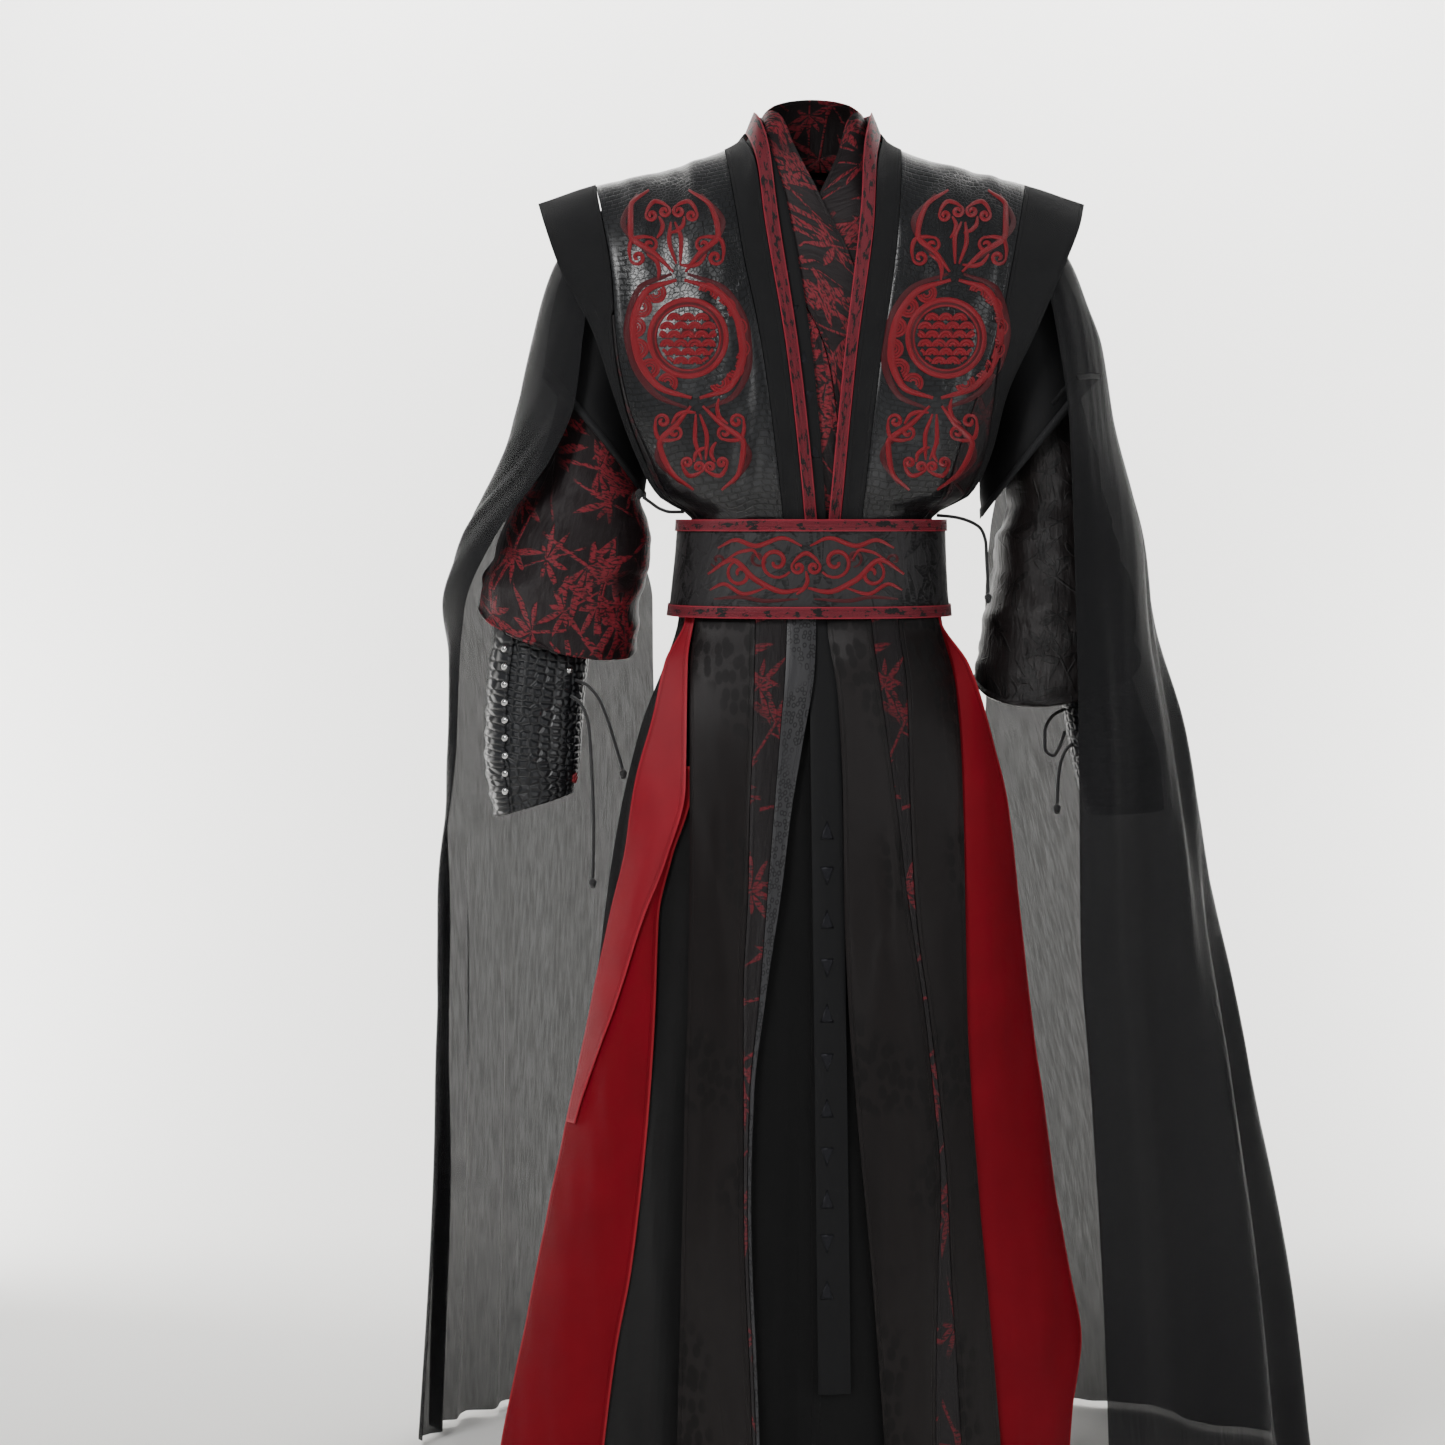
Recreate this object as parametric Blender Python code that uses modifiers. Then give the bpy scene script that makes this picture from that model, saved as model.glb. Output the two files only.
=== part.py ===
"""A worn hanfu set in black and crimson, hollow, as it hangs from the neck and shoulders.

The origin is at the middle of the neck, between the shoulders. The front faces -Y, and heights are given as
drops: metres below the origin. Every layer round the trunk is one height field moved in or out, so the
layers stay parallel. Sleeves and bracers are lofted rings, and the skirt is a flared ring with pleats.
"""

import math

import bmesh
import bpy
import numpy as np

COLLECTION = "hanfu_set"
SEAM = 0.0008
SHEER = 0.0010
SATIN = 0.0012
JACQUARD = 0.0012
LEATHER = 0.0016
BELT = 0.0030
LAYER = 0.0034
BELT_TOP, BELT_BOTTOM = 0.408, 0.510
WAIST, TUCK = 0.405, 0.436
TUCK_ROW, ROW_SPREAD = 0.9, 1.5
HEM = 1.455
ROUNDNESS = 2.5
SHOULDER_ROLL = 0.10
LACE = 0.0036

VEST, GOWN, ROBE_OVER, ROBE_UNDER = 0.0, -LAYER, -1.98 * LAYER, -3.2 * LAYER
SATIN_LAYER, BAND_LAYER, RED_LAYER, UNDER_LAYER = 0.0, -0.0040, -0.0045, -0.0085
FRONT_ROWS, BACK_ROWS, NECK_COLUMNS, BACK_COLUMNS = 10, 10, 5, 3

COLOURS = {
    "brocade": ((0.030, 0.012, 0.014), 0.55),
    "crimson": ((0.30, 0.012, 0.028), 0.50),
    "trim": ((0.22, 0.018, 0.035), 0.50),
    "satin": ((0.016, 0.014, 0.014), 0.32),
    "matte": ((0.008, 0.008, 0.009), 0.75),
    "sheer": ((0.012, 0.012, 0.014), 0.60),
    "leather": ((0.010, 0.011, 0.013), 0.25),
    "print": ((0.040, 0.040, 0.043), 0.40),
    "cord": ((0.008, 0.008, 0.008), 0.60),
}


class Table:
    """Named columns over a first column, joined by curves that never pass beyond their rows."""

    def __init__(self, columns, *rows):
        self.columns = columns.split()
        self.rows = np.array(rows, float)

    def __call__(self, column, at):
        keys = self.rows[:, 0]
        values = self.rows[:, self.columns.index(column)]
        step = np.diff(keys)
        slope = np.diff(values) / step
        tangent = np.concatenate([slope[:1], np.zeros(len(slope) - 1), slope[-1:]])
        same_way = slope[:-1] * slope[1:] > 0
        total = np.where(same_way, slope[:-1] + slope[1:], 1.0)
        tangent[1:-1] = np.where(same_way, 2 * slope[:-1] * slope[1:] / total, 0.0)
        at = float(np.clip(at, keys[0], keys[-1]))
        i = int(np.clip(np.searchsorted(keys, at, side="right") - 1, 0, len(step) - 1))
        t = (at - keys[i]) / step[i]
        rise = values[i + 1] - values[i]
        return float(
            values[i]
            + rise * t * t * (3 - 2 * t)
            + step[i] * t * (1 - t) * (tangent[i] * (1 - t) - tangent[i + 1] * t)
        )


def mix(a, b, t):
    return a + (b - a) * t


def ramp(at, start, end):
    """0 before start, 1 after end, smooth between."""
    t = min(max((at - start) / (end - start), 0.0), 1.0)
    return t * t * (3 - 2 * t)


TRUNK = Table(
    "drop    width  front  back   chest",
    (-0.060, 0.300, 0.050, 0.074, 0.200),
    (0.000, 0.300, 0.062, 0.084, 0.200),
    (0.058, 0.300, 0.084, 0.098, 0.196),
    (0.138, 0.296, 0.108, 0.112, 0.178),
    (0.224, 0.288, 0.130, 0.122, 0.166),
    (0.288, 0.268, 0.137, 0.122, 0.160),
    (0.337, 0.236, 0.136, 0.116, 0.150),
    (0.380, 0.184, 0.131, 0.107, 0.140),
    (0.405, 0.1407, 0.1222, 0.0982, 0.110),
    (0.450, 0.1407, 0.1222, 0.0982, 0.110),
)
SHOULDER = Table(
    "x       drop",
    (0.000, -0.078),
    (0.030, -0.068),
    (0.046, -0.058),
    (0.056, -0.046),
    (0.066, -0.024),
    (0.075, -0.004),
    (0.096, 0.009),
    (0.169, 0.033),
    (0.236, 0.047),
    (0.300, 0.068),
)
LEAN = -0.002
OUT_PER_LAYER, DOWN_PER_LAYER = 1.3, 0.9
SHOULDER_GAP, COLLAR_GAP, SIDE_DEPTH = 0.0008, 0.0024, 0.12
NECK_TIGHTER = 8.0
ARMHOLE_TURN, SIDE_SEAM_DROPS = (0.12, 0.24), (0.19, 0.26)
ARMHOLE_SHARE, SEAM_SHARE = 0.80, 0.985
TURNED_COLUMNS, TURNED_ANGLES = (0.5, 1.0), (1.0, 1.5)
CROSSED_DROPS = (0.0, 0.08)


def shoulder_top(x, offset):
    """The drop of a layer's shoulder line, moved in square to the line's own slope."""
    return SHOULDER("drop", abs(x) - OUT_PER_LAYER * offset) - DOWN_PER_LAYER * offset


def trunk_depth(x, drop, side, offset):
    """How far a layer of the trunk stands from the shoulder plane, in front (-1) or behind (+1)."""
    width = TRUNK("width", drop) + offset
    depth = TRUNK("front" if side < 0 else "back", drop) + offset
    across = min(abs(x) / width, 1.0)
    roll = min(max((drop - shoulder_top(x, offset)) / SHOULDER_ROLL, 0.0), 1.0)
    return depth * (1 - across**ROUNDNESS) ** (1 / ROUNDNESS) * math.sqrt(1 - (1 - roll) ** 2)


def at_row(v, top=0.0):
    """The drop of a row: closer together near the shoulder, and the last one under the belt."""
    if v > TUCK_ROW:
        return mix(WAIST, TUCK, (v - TUCK_ROW) / (1 - TUCK_ROW))
    return mix(top, WAIST, (v / TUCK_ROW) ** ROW_SPREAD)


def on_trunk(x, v, side, offset, shoulder_gap=0.0):
    """The point of a layer at a distance x from the middle, on row v of the front or the back."""
    drop = at_row(v, shoulder_top(x, offset))
    y = trunk_depth(x, drop, side, offset) + shoulder_gap
    return (x + LEAN, side * y, -drop)


def on_neck(x, drop, offset):
    """The point of a layer behind the neck."""
    drop = drop + shoulder_top(x, offset) - shoulder_top(x, 0.0)
    return (x + LEAN, trunk_depth(x, drop, 1, offset) * (1 + NECK_TIGHTER * offset), -drop)


def material(name):
    if name in bpy.data.materials:
        return bpy.data.materials[name]
    colour, roughness = COLOURS[name]
    made = bpy.data.materials.new(name)
    made.use_nodes = True
    shader = made.node_tree.nodes["Principled BSDF"]
    shader.inputs["Base Color"].default_value = (*colour, 1.0)
    shader.inputs["Roughness"].default_value = roughness
    shader.inputs["Metallic"].default_value = 0.0
    return made


def add(name, data, finish):
    thing = bpy.data.objects.new(name, data)
    bpy.data.collections[COLLECTION].objects.link(thing)
    own = material(finish).copy()
    own.name = f"{name}_{finish}"
    data.materials.append(own)
    return thing


def cloth(name, surface, across, down, wall, finish, closed=False, flip=False):
    """A sheet of cloth: surface(u, v) on a grid, u from left to right as seen from outside, v downwards."""
    columns = across if closed else across + 1
    points = [surface(j / across, i / down) for i in range(down + 1) for j in range(columns)]
    faces = []
    for i in range(down):
        for j in range(across):
            k = (j + 1) % columns
            corners = (i * columns + j, (i + 1) * columns + j, (i + 1) * columns + k, i * columns + k)
            faces.append(corners[::-1] if flip else corners)
    mesh = bpy.data.meshes.new(name)
    mesh.from_pydata(points, [], faces)
    mesh.shade_smooth()
    thing = add(name, mesh, finish)
    shell = thing.modifiers.new("wall", "SOLIDIFY")
    shell.thickness = wall
    shell.offset = -1.0
    shell.use_even_offset = False
    return thing


def between(inner, outer, t):
    """A place between two edges, kept half a seam gap from each."""
    half = math.copysign(SEAM / 2, outer - inner) if abs(outer - inner) > 4 * SEAM else 0.0
    return mix(inner + half, outer - half, t)


VEST_COLLAR = Table(
    "drop    inner   trim    seam    outer",
    (0.000, 0.0625, 0.0725, 0.0745, 0.0955),
    (0.058, 0.0500, 0.0633, 0.0637, 0.0885),
    (0.118, 0.0440, 0.0585, 0.0585, 0.0815),
    (0.267, 0.0220, 0.0355, 0.0355, 0.0590),
    (0.404, 0.0060, 0.0195, 0.0195, 0.0415),
    (0.436, 0.0030, 0.0165, 0.0165, 0.0380),
)
VEST_NECK = Table(
    "way     inner  inner_drop trim   trim_drop seam  seam_drop outer outer_drop",
    (0.000, 0.0625, -0.0310, 0.0725, -0.0098, 0.0745, -0.0050, 0.0955, 0.0090),
    (0.300, 0.0600, -0.0320, 0.0710, -0.0100, 0.0720, -0.0080, 0.0930, 0.0135),
    (0.650, 0.0380, -0.0340, 0.0460, -0.0110, 0.0460, -0.0110, 0.0600, 0.0095),
    (1.000, 0.0000, -0.0360, 0.0000, -0.0120, 0.0000, -0.0120, 0.0000, 0.0085),
)
GOWN_COLLAR_LEFT = Table(
    "drop    inner   outer",
    (0.000, 0.0585, 0.0910),
    (0.058, 0.0475, 0.0840),
    (0.118, 0.0330, 0.0700),
    (0.267, 0.0085, 0.0450),
    (0.404, -0.0040, 0.0320),
    (0.436, -0.0060, 0.0300),
)
GOWN_COLLAR_RIGHT = Table(
    "drop    inner   outer",
    (0.000, 0.0585, 0.0910),
    (0.058, 0.0520, 0.0880),
    (0.118, 0.0460, 0.0830),
    (0.267, 0.0240, 0.0610),
    (0.404, 0.0080, 0.0450),
    (0.436, 0.0050, 0.0420),
)
GOWN_NECK = Table(
    "way     inner  inner_drop outer outer_drop",
    (0.000, 0.0585, -0.0395, 0.0910, 0.0060),
    (0.300, 0.0560, -0.0400, 0.0880, 0.0170),
    (0.650, 0.0370, -0.0420, 0.0570, 0.0160),
    (1.000, 0.0000, -0.0440, 0.0000, 0.0150),
)
ROBE_COLLAR = Table(
    "drop    inner   outer",
    (0.000, 0.0535, 0.0900),
    (0.030, 0.0340, 0.0840),
    (0.065, 0.0220, 0.0790),
    (0.123, -0.0070, 0.0680),
    (0.158, -0.0300, 0.0520),
    (0.260, -0.0660, -0.0060),
    (0.340, -0.0700, -0.0200),
    (0.436, -0.0720, -0.0380),
)
ROBE_NECK = Table(
    "way     inner  inner_drop outer outer_drop",
    (0.000, 0.0535, -0.0500, 0.0900, 0.0050),
    (0.300, 0.0500, -0.0530, 0.0860, 0.0160),
    (0.650, 0.0340, -0.0570, 0.0560, 0.0150),
    (1.000, 0.0000, -0.0600, 0.0000, 0.0140),
)
MIDDLE = Table("drop middle", (0.0, 0.000), (0.13, 0.004), (0.436, 0.008))


def collar_band(left, right, neck, near, far, left_layer, right_layer):
    """A band up the left front, round behind the neck and down the right front, from near edge to far edge."""
    columns = 2 * (FRONT_ROWS + NECK_COLUMNS)

    def place(u, t):
        step = u * columns
        hand = -1 if step < columns / 2 else 1
        step = min(step, columns - step)
        table = left if hand < 0 else right
        if step <= FRONT_ROWS:
            v = 1 - step / FRONT_ROWS
            drop = at_row(v)
            x = between(table(near, drop), table(far, drop), t)
            layer = left_layer if hand < 0 else right_layer
            layer = mix(left_layer, layer, ramp(drop, *CROSSED_DROPS))
            return on_trunk(hand * x + MIDDLE("middle", drop), v, -1, layer)
        way = (step - FRONT_ROWS) / NECK_COLUMNS
        x = between(neck(near, way), neck(far, way), t)
        drop = between(neck(near + "_drop", way), neck(far + "_drop", way), t)
        return on_neck(hand * x, drop, left_layer)

    return place, columns


EDGE_LEFT = Table(
    "drop    leather side    wing    wing_y",
    (0.000, 0.2340, 0.2360, 0.2970, 0.000),
    (0.045, 0.2260, 0.2280, 0.2880, 0.036),
    (0.115, 0.2150, 0.2170, 0.2700, 0.074),
    (0.200, 0.2090, 0.2120, 0.2340, 0.096),
    (0.275, 0.1960, 0.2000, 0.2110, 0.101),
    (0.337, 0.1740, 0.1800, 0.1890, 0.096),
    (0.380, 0.1560, 0.1600, 0.1670, 0.078),
    (0.405, 0.1240, 0.1270, 0.1300, 0.040),
    (0.436, 0.1180, 0.1210, 0.1240, 0.040),
)
EDGE_RIGHT = Table(
    "drop    leather side    wing    wing_y",
    (0.000, 0.2290, 0.2310, 0.2950, 0.000),
    (0.045, 0.2200, 0.2220, 0.2860, 0.036),
    (0.115, 0.2070, 0.2090, 0.2640, 0.074),
    (0.200, 0.1910, 0.1950, 0.2330, 0.096),
    (0.275, 0.1670, 0.1870, 0.2020, 0.101),
    (0.337, 0.1490, 0.1780, 0.1870, 0.096),
    (0.380, 0.1390, 0.1600, 0.1670, 0.078),
    (0.405, 0.1180, 0.1260, 0.1290, 0.040),
    (0.436, 0.1140, 0.1200, 0.1230, 0.040),
)
SIDE_FIRST_ROW = 5


def vest():
    trim, columns = collar_band(VEST_COLLAR, VEST_COLLAR, VEST_NECK, "inner", "trim", VEST, VEST)
    band, columns = collar_band(VEST_COLLAR, VEST_COLLAR, VEST_NECK, "seam", "outer", VEST, VEST)
    cloth("vest_collar_trim", trim, columns, 1, SATIN, "trim")
    cloth("vest_collar", band, columns, 1, SATIN, "matte")
    for hand, edges, name in ((-1, EDGE_LEFT, "left"), (1, EDGE_RIGHT, "right")):
        vest_front(hand, edges, name)
        vest_wing(hand, edges, name)

    def side_edge(hand, drop):
        return (EDGE_LEFT if hand < 0 else EDGE_RIGHT)("side", drop) - SEAM

    back = back_panel(VEST_NECK, side_edge, VEST)
    columns = 2 * (NECK_COLUMNS + BACK_COLUMNS)
    cloth("vest_back", back, columns, BACK_ROWS, LEATHER, "leather", flip=True)


def back_panel(neck, side_edge, layer, turned=0.0):
    """A back, hung from the collar's lower edge, with columns under each step of the collar."""
    half_columns = NECK_COLUMNS + BACK_COLUMNS

    def point(u, v):
        hand = -1 if u < 0.5 else 1
        step = abs(2 * u - 1) * half_columns
        drop = at_row(v)
        out = max(step - NECK_COLUMNS, 0.0) / BACK_COLUMNS
        way = 1 - min(step / NECK_COLUMNS, 1.0)
        if out > 0:
            edge = side_edge(hand, drop)
            x = mix(neck("outer", 0), edge, math.sin(out * math.pi / 2) if turned else out)
            place = on_trunk(hand * x, v, 1, layer, SHOULDER_GAP)
            turn = turned * ramp(out, *TURNED_COLUMNS) * ramp(drop, *ARMHOLE_TURN)
            return (place[0], place[1] * mix(1.0, SIDE_DEPTH, turn), place[2])
        x = neck("outer", way)
        top = neck("outer_drop", way) + COLLAR_GAP
        top = max(top, SHOULDER("drop", x))
        drop = at_row(v, top + shoulder_top(x, layer) - shoulder_top(x, 0.0))
        depth = trunk_depth(x, drop, 1, layer) * (1 + NECK_TIGHTER * layer * way)
        return (hand * x + LEAN, depth + SHOULDER_GAP, -drop)

    return point


def vest_front(hand, edges, name):
    def place(first, last):
        def point(u, v):
            drop = at_row(v)
            bounds = {
                "collar": VEST_COLLAR("outer", drop) + hand * MIDDLE("middle", drop),
                "leather": edges("leather", drop),
                "side": edges("side", drop),
            }
            x = between(bounds[first], bounds[last], u if hand > 0 else 1 - u)
            return on_trunk(hand * x, v, -1, VEST, SHOULDER_GAP)

        return point

    leather, side = place("collar", "leather"), place("leather", "side")
    cloth(f"vest_front_{name}", leather, 6, FRONT_ROWS, LEATHER, "leather")
    first = SIDE_FIRST_ROW / FRONT_ROWS
    rows = FRONT_ROWS - SIDE_FIRST_ROW
    cloth(f"vest_side_{name}", lambda u, v: side(u, mix(first, 1.0, v)), 1, rows, LEATHER, "brocade")


def vest_wing(hand, edges, name):
    """The stiff band round the armhole, from the front waist over the shoulder to the back waist."""

    def band(u, t):
        step = (u if hand > 0 else 1 - u) * (FRONT_ROWS + BACK_ROWS)
        side = -1 if step < FRONT_ROWS else 1
        v = 1 - step / FRONT_ROWS if side < 0 else (step - FRONT_ROWS) / BACK_ROWS
        drop = at_row(v)
        inner_x = edges("side", drop) + SEAM / 2
        if side < 0 and drop < at_row(SIDE_FIRST_ROW / FRONT_ROWS) - SEAM:
            inner_x = edges("leather", drop) + SEAM / 2
        inner = on_trunk(hand * inner_x, v, side, VEST)
        rise = SHOULDER("drop", edges("wing", 0.0)) * (1 - drop / TUCK) ** 3
        outer = (hand * edges("wing", drop) + LEAN, side * edges("wing_y", drop), -(drop + rise))
        return tuple(mix(a, b, t) for a, b in zip(inner, outer))

    cloth(f"vest_wing_{name}", band, FRONT_ROWS + BACK_ROWS, 3, LEATHER, "matte", flip=hand < 0)


def chest_panel(hand, start, layer, side):
    """A hidden or half hidden panel of the trunk, from an edge near the middle to the armhole and side seam."""

    def point(u, v):
        drop = at_row(v)
        chest = TRUNK("chest", drop) + layer - ROBE_UNDER
        side_seam = ramp(drop, *SIDE_SEAM_DROPS)
        end = math.pi / 2 * mix(ARMHOLE_SHARE, SEAM_SHARE, side_seam)
        begin = math.asin(start(drop) / chest)
        angle = mix(begin, end, u if hand > 0 else 1 - u)
        x = chest * math.sin(angle)
        x, y, z = on_trunk(hand * x, v, side, layer, SHOULDER_GAP)
        turn = ramp(abs(angle), *TURNED_ANGLES) * ramp(drop, *ARMHOLE_TURN)
        return (x, y * mix(1.0, SIDE_DEPTH, turn), z)

    return point


def gown_and_robe():
    collar, columns = collar_band(
        GOWN_COLLAR_LEFT, GOWN_COLLAR_RIGHT, GOWN_NECK, "inner", "outer", GOWN, GOWN
    )
    cloth("gown_collar", collar, columns, 2, SHEER, "sheer")
    collar, columns = collar_band(
        ROBE_COLLAR, ROBE_COLLAR, ROBE_NECK, "inner", "outer", ROBE_OVER, ROBE_UNDER
    )
    cloth("inner_collar", collar, columns, 3, JACQUARD, "brocade")

    def edge(table, hand):
        return lambda drop: table("outer", drop) + hand * MIDDLE("middle", drop) + SEAM

    for hand, name, gown_edge, layer in (
        (-1, "left", GOWN_COLLAR_LEFT, ROBE_OVER),
        (1, "right", GOWN_COLLAR_RIGHT, ROBE_UNDER),
    ):
        gown = chest_panel(hand, edge(gown_edge, hand), GOWN, -1)
        robe = chest_panel(hand, edge(ROBE_COLLAR, hand), layer, -1)
        cloth(f"gown_front_{name}", gown, 5, FRONT_ROWS, SHEER, "sheer")
        cloth(f"inner_front_{name}", robe, 6, FRONT_ROWS, JACQUARD, "brocade")

    def chest_edge(layer):
        def edge(hand, drop):
            chest = TRUNK("chest", drop) + layer - ROBE_UNDER
            share = mix(ARMHOLE_SHARE, 0.96, ramp(drop, *SIDE_SEAM_DROPS))
            return chest * math.sin(share * math.pi / 2)

        return edge

    gown = back_panel(GOWN_NECK, chest_edge(GOWN), GOWN, 1.0)
    robe = back_panel(ROBE_NECK, chest_edge(ROBE_UNDER), ROBE_UNDER, 1.0)
    columns = 2 * (NECK_COLUMNS + BACK_COLUMNS)
    cloth("gown_back", gown, columns, BACK_ROWS, SHEER, "sheer", flip=True)
    cloth("inner_back", robe, columns, BACK_ROWS, JACQUARD, "brocade", flip=True)


BELT_RING = Table(
    "drop    width   front   back",
    (0.400, 0.1455, 0.1270, 0.1030),
    (0.460, 0.1490, 0.1310, 0.1060),
    (0.512, 0.1540, 0.1360, 0.1100),
)
BELT_COLUMNS = 36
BELT_MIDDLES = (-0.003, -0.005)
PAST_EDGE = 0.0010
TRIM_HEIGHT = 0.0115
TRIM_WALL = 0.0012


def round_ring(table, angle, drop, offset, middle):
    """A point of a flattened ring: 0 is the front, a quarter turn is the wearer's left side at +X."""
    power = 2 / ROUNDNESS
    sine, cosine = math.sin(angle), math.cos(angle)
    x = (table("width", drop) + offset) * math.copysign(abs(sine) ** power, sine)
    depth = table("front" if cosine > 0 else "back", drop) + offset
    return (middle + x, -depth * math.copysign(abs(cosine) ** power, cosine), -drop)


def belt():
    def ring(top, bottom, offset):
        def point(u, v):
            drop = mix(top, bottom, v)
            middle = mix(*BELT_MIDDLES, (drop - BELT_TOP) / (BELT_BOTTOM - BELT_TOP))
            return round_ring(BELT_RING, 2 * math.pi * u, drop, offset, middle)

        return point

    cloth("belt", ring(BELT_TOP, BELT_BOTTOM, 0.0), BELT_COLUMNS, 1, BELT, "brocade", closed=True)
    proud = SEAM + TRIM_WALL
    top = ring(BELT_TOP - PAST_EDGE, BELT_TOP + TRIM_HEIGHT, proud)
    bottom = ring(BELT_BOTTOM - TRIM_HEIGHT, BELT_BOTTOM + PAST_EDGE, proud)
    cloth("belt_trim_top", top, BELT_COLUMNS, 1, TRIM_WALL, "trim", closed=True)
    cloth("belt_trim_bottom", bottom, BELT_COLUMNS, 1, TRIM_WALL, "trim", closed=True)


SKIRT = Table(
    "drop    width   front   back",
    (0.475, 0.1452, 0.1262, 0.1022),
    (0.513, 0.1495, 0.1310, 0.1060),
    (0.560, 0.1660, 0.1480, 0.1260),
    (0.637, 0.1960, 0.1680, 0.1500),
    (0.750, 0.2220, 0.1900, 0.1720),
    (0.900, 0.2420, 0.2120, 0.1920),
    (1.050, 0.2600, 0.2300, 0.2100),
    (1.200, 0.2760, 0.2500, 0.2260),
    (1.460, 0.2980, 0.2780, 0.2500),
)
SKIRT_TOP = 0.478
SKIRT_ROWS = 12
SKIRT_MIDDLE = -0.004
WAIST_TIGHTER = 0.5
WAIST_END, FIRST_ROW_GAP = 0.56, 0.003
NEAREST_SIDE = 0.985
RIPPLE_DEEPEST, RIPPLE_LENGTHS = 1.2, (0.8, 1.3)
RIPPLE_WAVES = Table("wave length height start", (0, 0.074, 0.0042, 0.4), (1, 0.041, 0.0020, 1.9))


def ripple(x, drop):
    """Soft folds of the hanging panels, the same in every layer in front."""
    grown = ramp(drop, BELT_BOTTOM, RIPPLE_DEEPEST)
    total = 0.0
    for _, length, height, start in RIPPLE_WAVES.rows:
        total += height * math.sin(2 * math.pi * x / (length * mix(*RIPPLE_LENGTHS, grown)) + start)
    return grown * total


def tighter(offset, drop):
    """Skirt layers lie closer together where they are sewn into the waist."""
    return offset * mix(WAIST_TIGHTER, 1.0, ramp(drop, SKIRT_TOP, WAIST_END))


def on_skirt(x, drop, offset):
    """A point on the skirt's front at a distance x from the middle."""
    offset = tighter(offset, drop)
    width, front = SKIRT("width", drop) + offset, SKIRT("front", drop) + offset
    across = min(abs(x - SKIRT_MIDDLE) / width, NEAREST_SIDE)
    depth = (front + ripple(x, drop)) * (1 - across**ROUNDNESS) ** (1 / ROUNDNESS)
    return (x, -depth, -drop)


LEFT_GROUP = Table(
    "drop    side    seam_a  seam_b  fold",
    (0.478, -0.122, -0.064, -0.031, -0.002),
    (0.513, -0.128, -0.065, -0.032, -0.001),
    (0.562, -0.134, -0.066, -0.034, -0.003),
    (0.634, -0.135, -0.068, -0.040, -0.015),
    (0.705, -0.135, -0.071, -0.046, -0.027),
    (0.790, -0.135, -0.073, -0.053, -0.038),
    (0.900, -0.136, -0.078, -0.062, -0.055),
    (1.000, -0.139, -0.078, -0.0715, -0.067),
    (1.110, -0.141, -0.078, -0.0740, -0.070),
    (1.325, -0.146, -0.070, -0.0660, -0.062),
    (1.455, -0.150, -0.066, -0.0620, -0.058),
)
RIGHT_GROUP = Table(
    "drop    fold    seam_a  seam_b  side",
    (0.478, 0.010, 0.055, 0.084, 0.124),
    (0.513, 0.010, 0.057, 0.086, 0.132),
    (0.587, 0.020, 0.066, 0.094, 0.149),
    (0.693, 0.025, 0.080, 0.096, 0.154),
    (0.806, 0.026, 0.094, 0.101, 0.155),
    (0.910, 0.030, 0.109, 0.114, 0.156),
    (1.000, 0.037, 0.119, 0.125, 0.160),
    (1.099, 0.046, 0.126, 0.133, 0.167),
    (1.181, 0.054, 0.122, 0.136, 0.174),
    (1.332, 0.065, 0.120, 0.145, 0.187),
    (1.455, 0.072, 0.120, 0.150, 0.196),
)
BAND = Table(
    "drop    left    right",
    (0.478, -0.010, 0.022),
    (0.900, -0.006, 0.028),
    (1.300, -0.002, 0.032),
)
RED_LEFT = Table(
    "drop    out_x   out_y   in_x    flap",
    (0.478, -0.1392, -0.058, -0.124, -0.1240),
    (0.513, -0.1400, -0.068, -0.129, -0.1300),
    (0.557, -0.1610, -0.092, -0.130, -0.1365),
    (0.612, -0.1730, -0.108, -0.130, -0.1375),
    (0.686, -0.1920, -0.118, -0.131, -0.1385),
    (0.761, -0.2030, -0.122, -0.152, -0.158),
    (0.823, -0.2170, -0.124, -0.166, -0.182),
    (0.924, -0.2390, -0.126, -0.170, -0.214),
    (1.030, -0.2630, -0.128, -0.177, -0.252),
    (1.183, -0.2940, -0.130, -0.194, -0.288),
    (1.276, -0.3130, -0.132, -0.211, -0.306),
    (1.455, -0.3500, -0.136, -0.233, -0.343),
)
RED_RIGHT = Table(
    "drop    out_x   out_y   in_x",
    (0.478, 0.1312, -0.058, 0.1200),
    (0.513, 0.1345, -0.064, 0.1290),
    (0.561, 0.1640, -0.084, 0.1430),
    (0.627, 0.1850, -0.100, 0.1485),
    (0.710, 0.2050, -0.110, 0.1500),
    (0.792, 0.2140, -0.114, 0.150),
    (0.941, 0.2310, -0.120, 0.151),
    (1.108, 0.2550, -0.126, 0.162),
    (1.214, 0.2730, -0.138, 0.170),
    (1.276, 0.2830, -0.146, 0.176),
    (1.349, 0.2710, -0.164, 0.184),
    (1.455, 0.2630, -0.180, 0.192),
)
FLAP_END = 1.045
FLAP_LIFT, FLAP_LIFT_DROPS = 0.0042, (0.49, 0.60)
RED_BULGE, RED_BULGE_DROPS = 0.048, (0.5, 0.8)
GORE_START = 0.665
UNDER_GORES = (
    ("under_front_left", -62, 0, "matte"),
    ("under_front_right", 0, 62, "matte"),
    ("under_side_right", 62, 122, "matte"),
    ("skirt_back_right", 122, 180, "satin"),
    ("skirt_back_left", 180, 238, "satin"),
    ("under_side_left", 238, 298, "matte"),
)
GORE_COLUMNS = 8
SIDE_PLEATS, SIDE_PLEAT_DEPTH = 22, 0.011
PLEATS_DEEPEST, PLEATED_ANGLES = 1.1, (0.9, 1.3)
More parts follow.
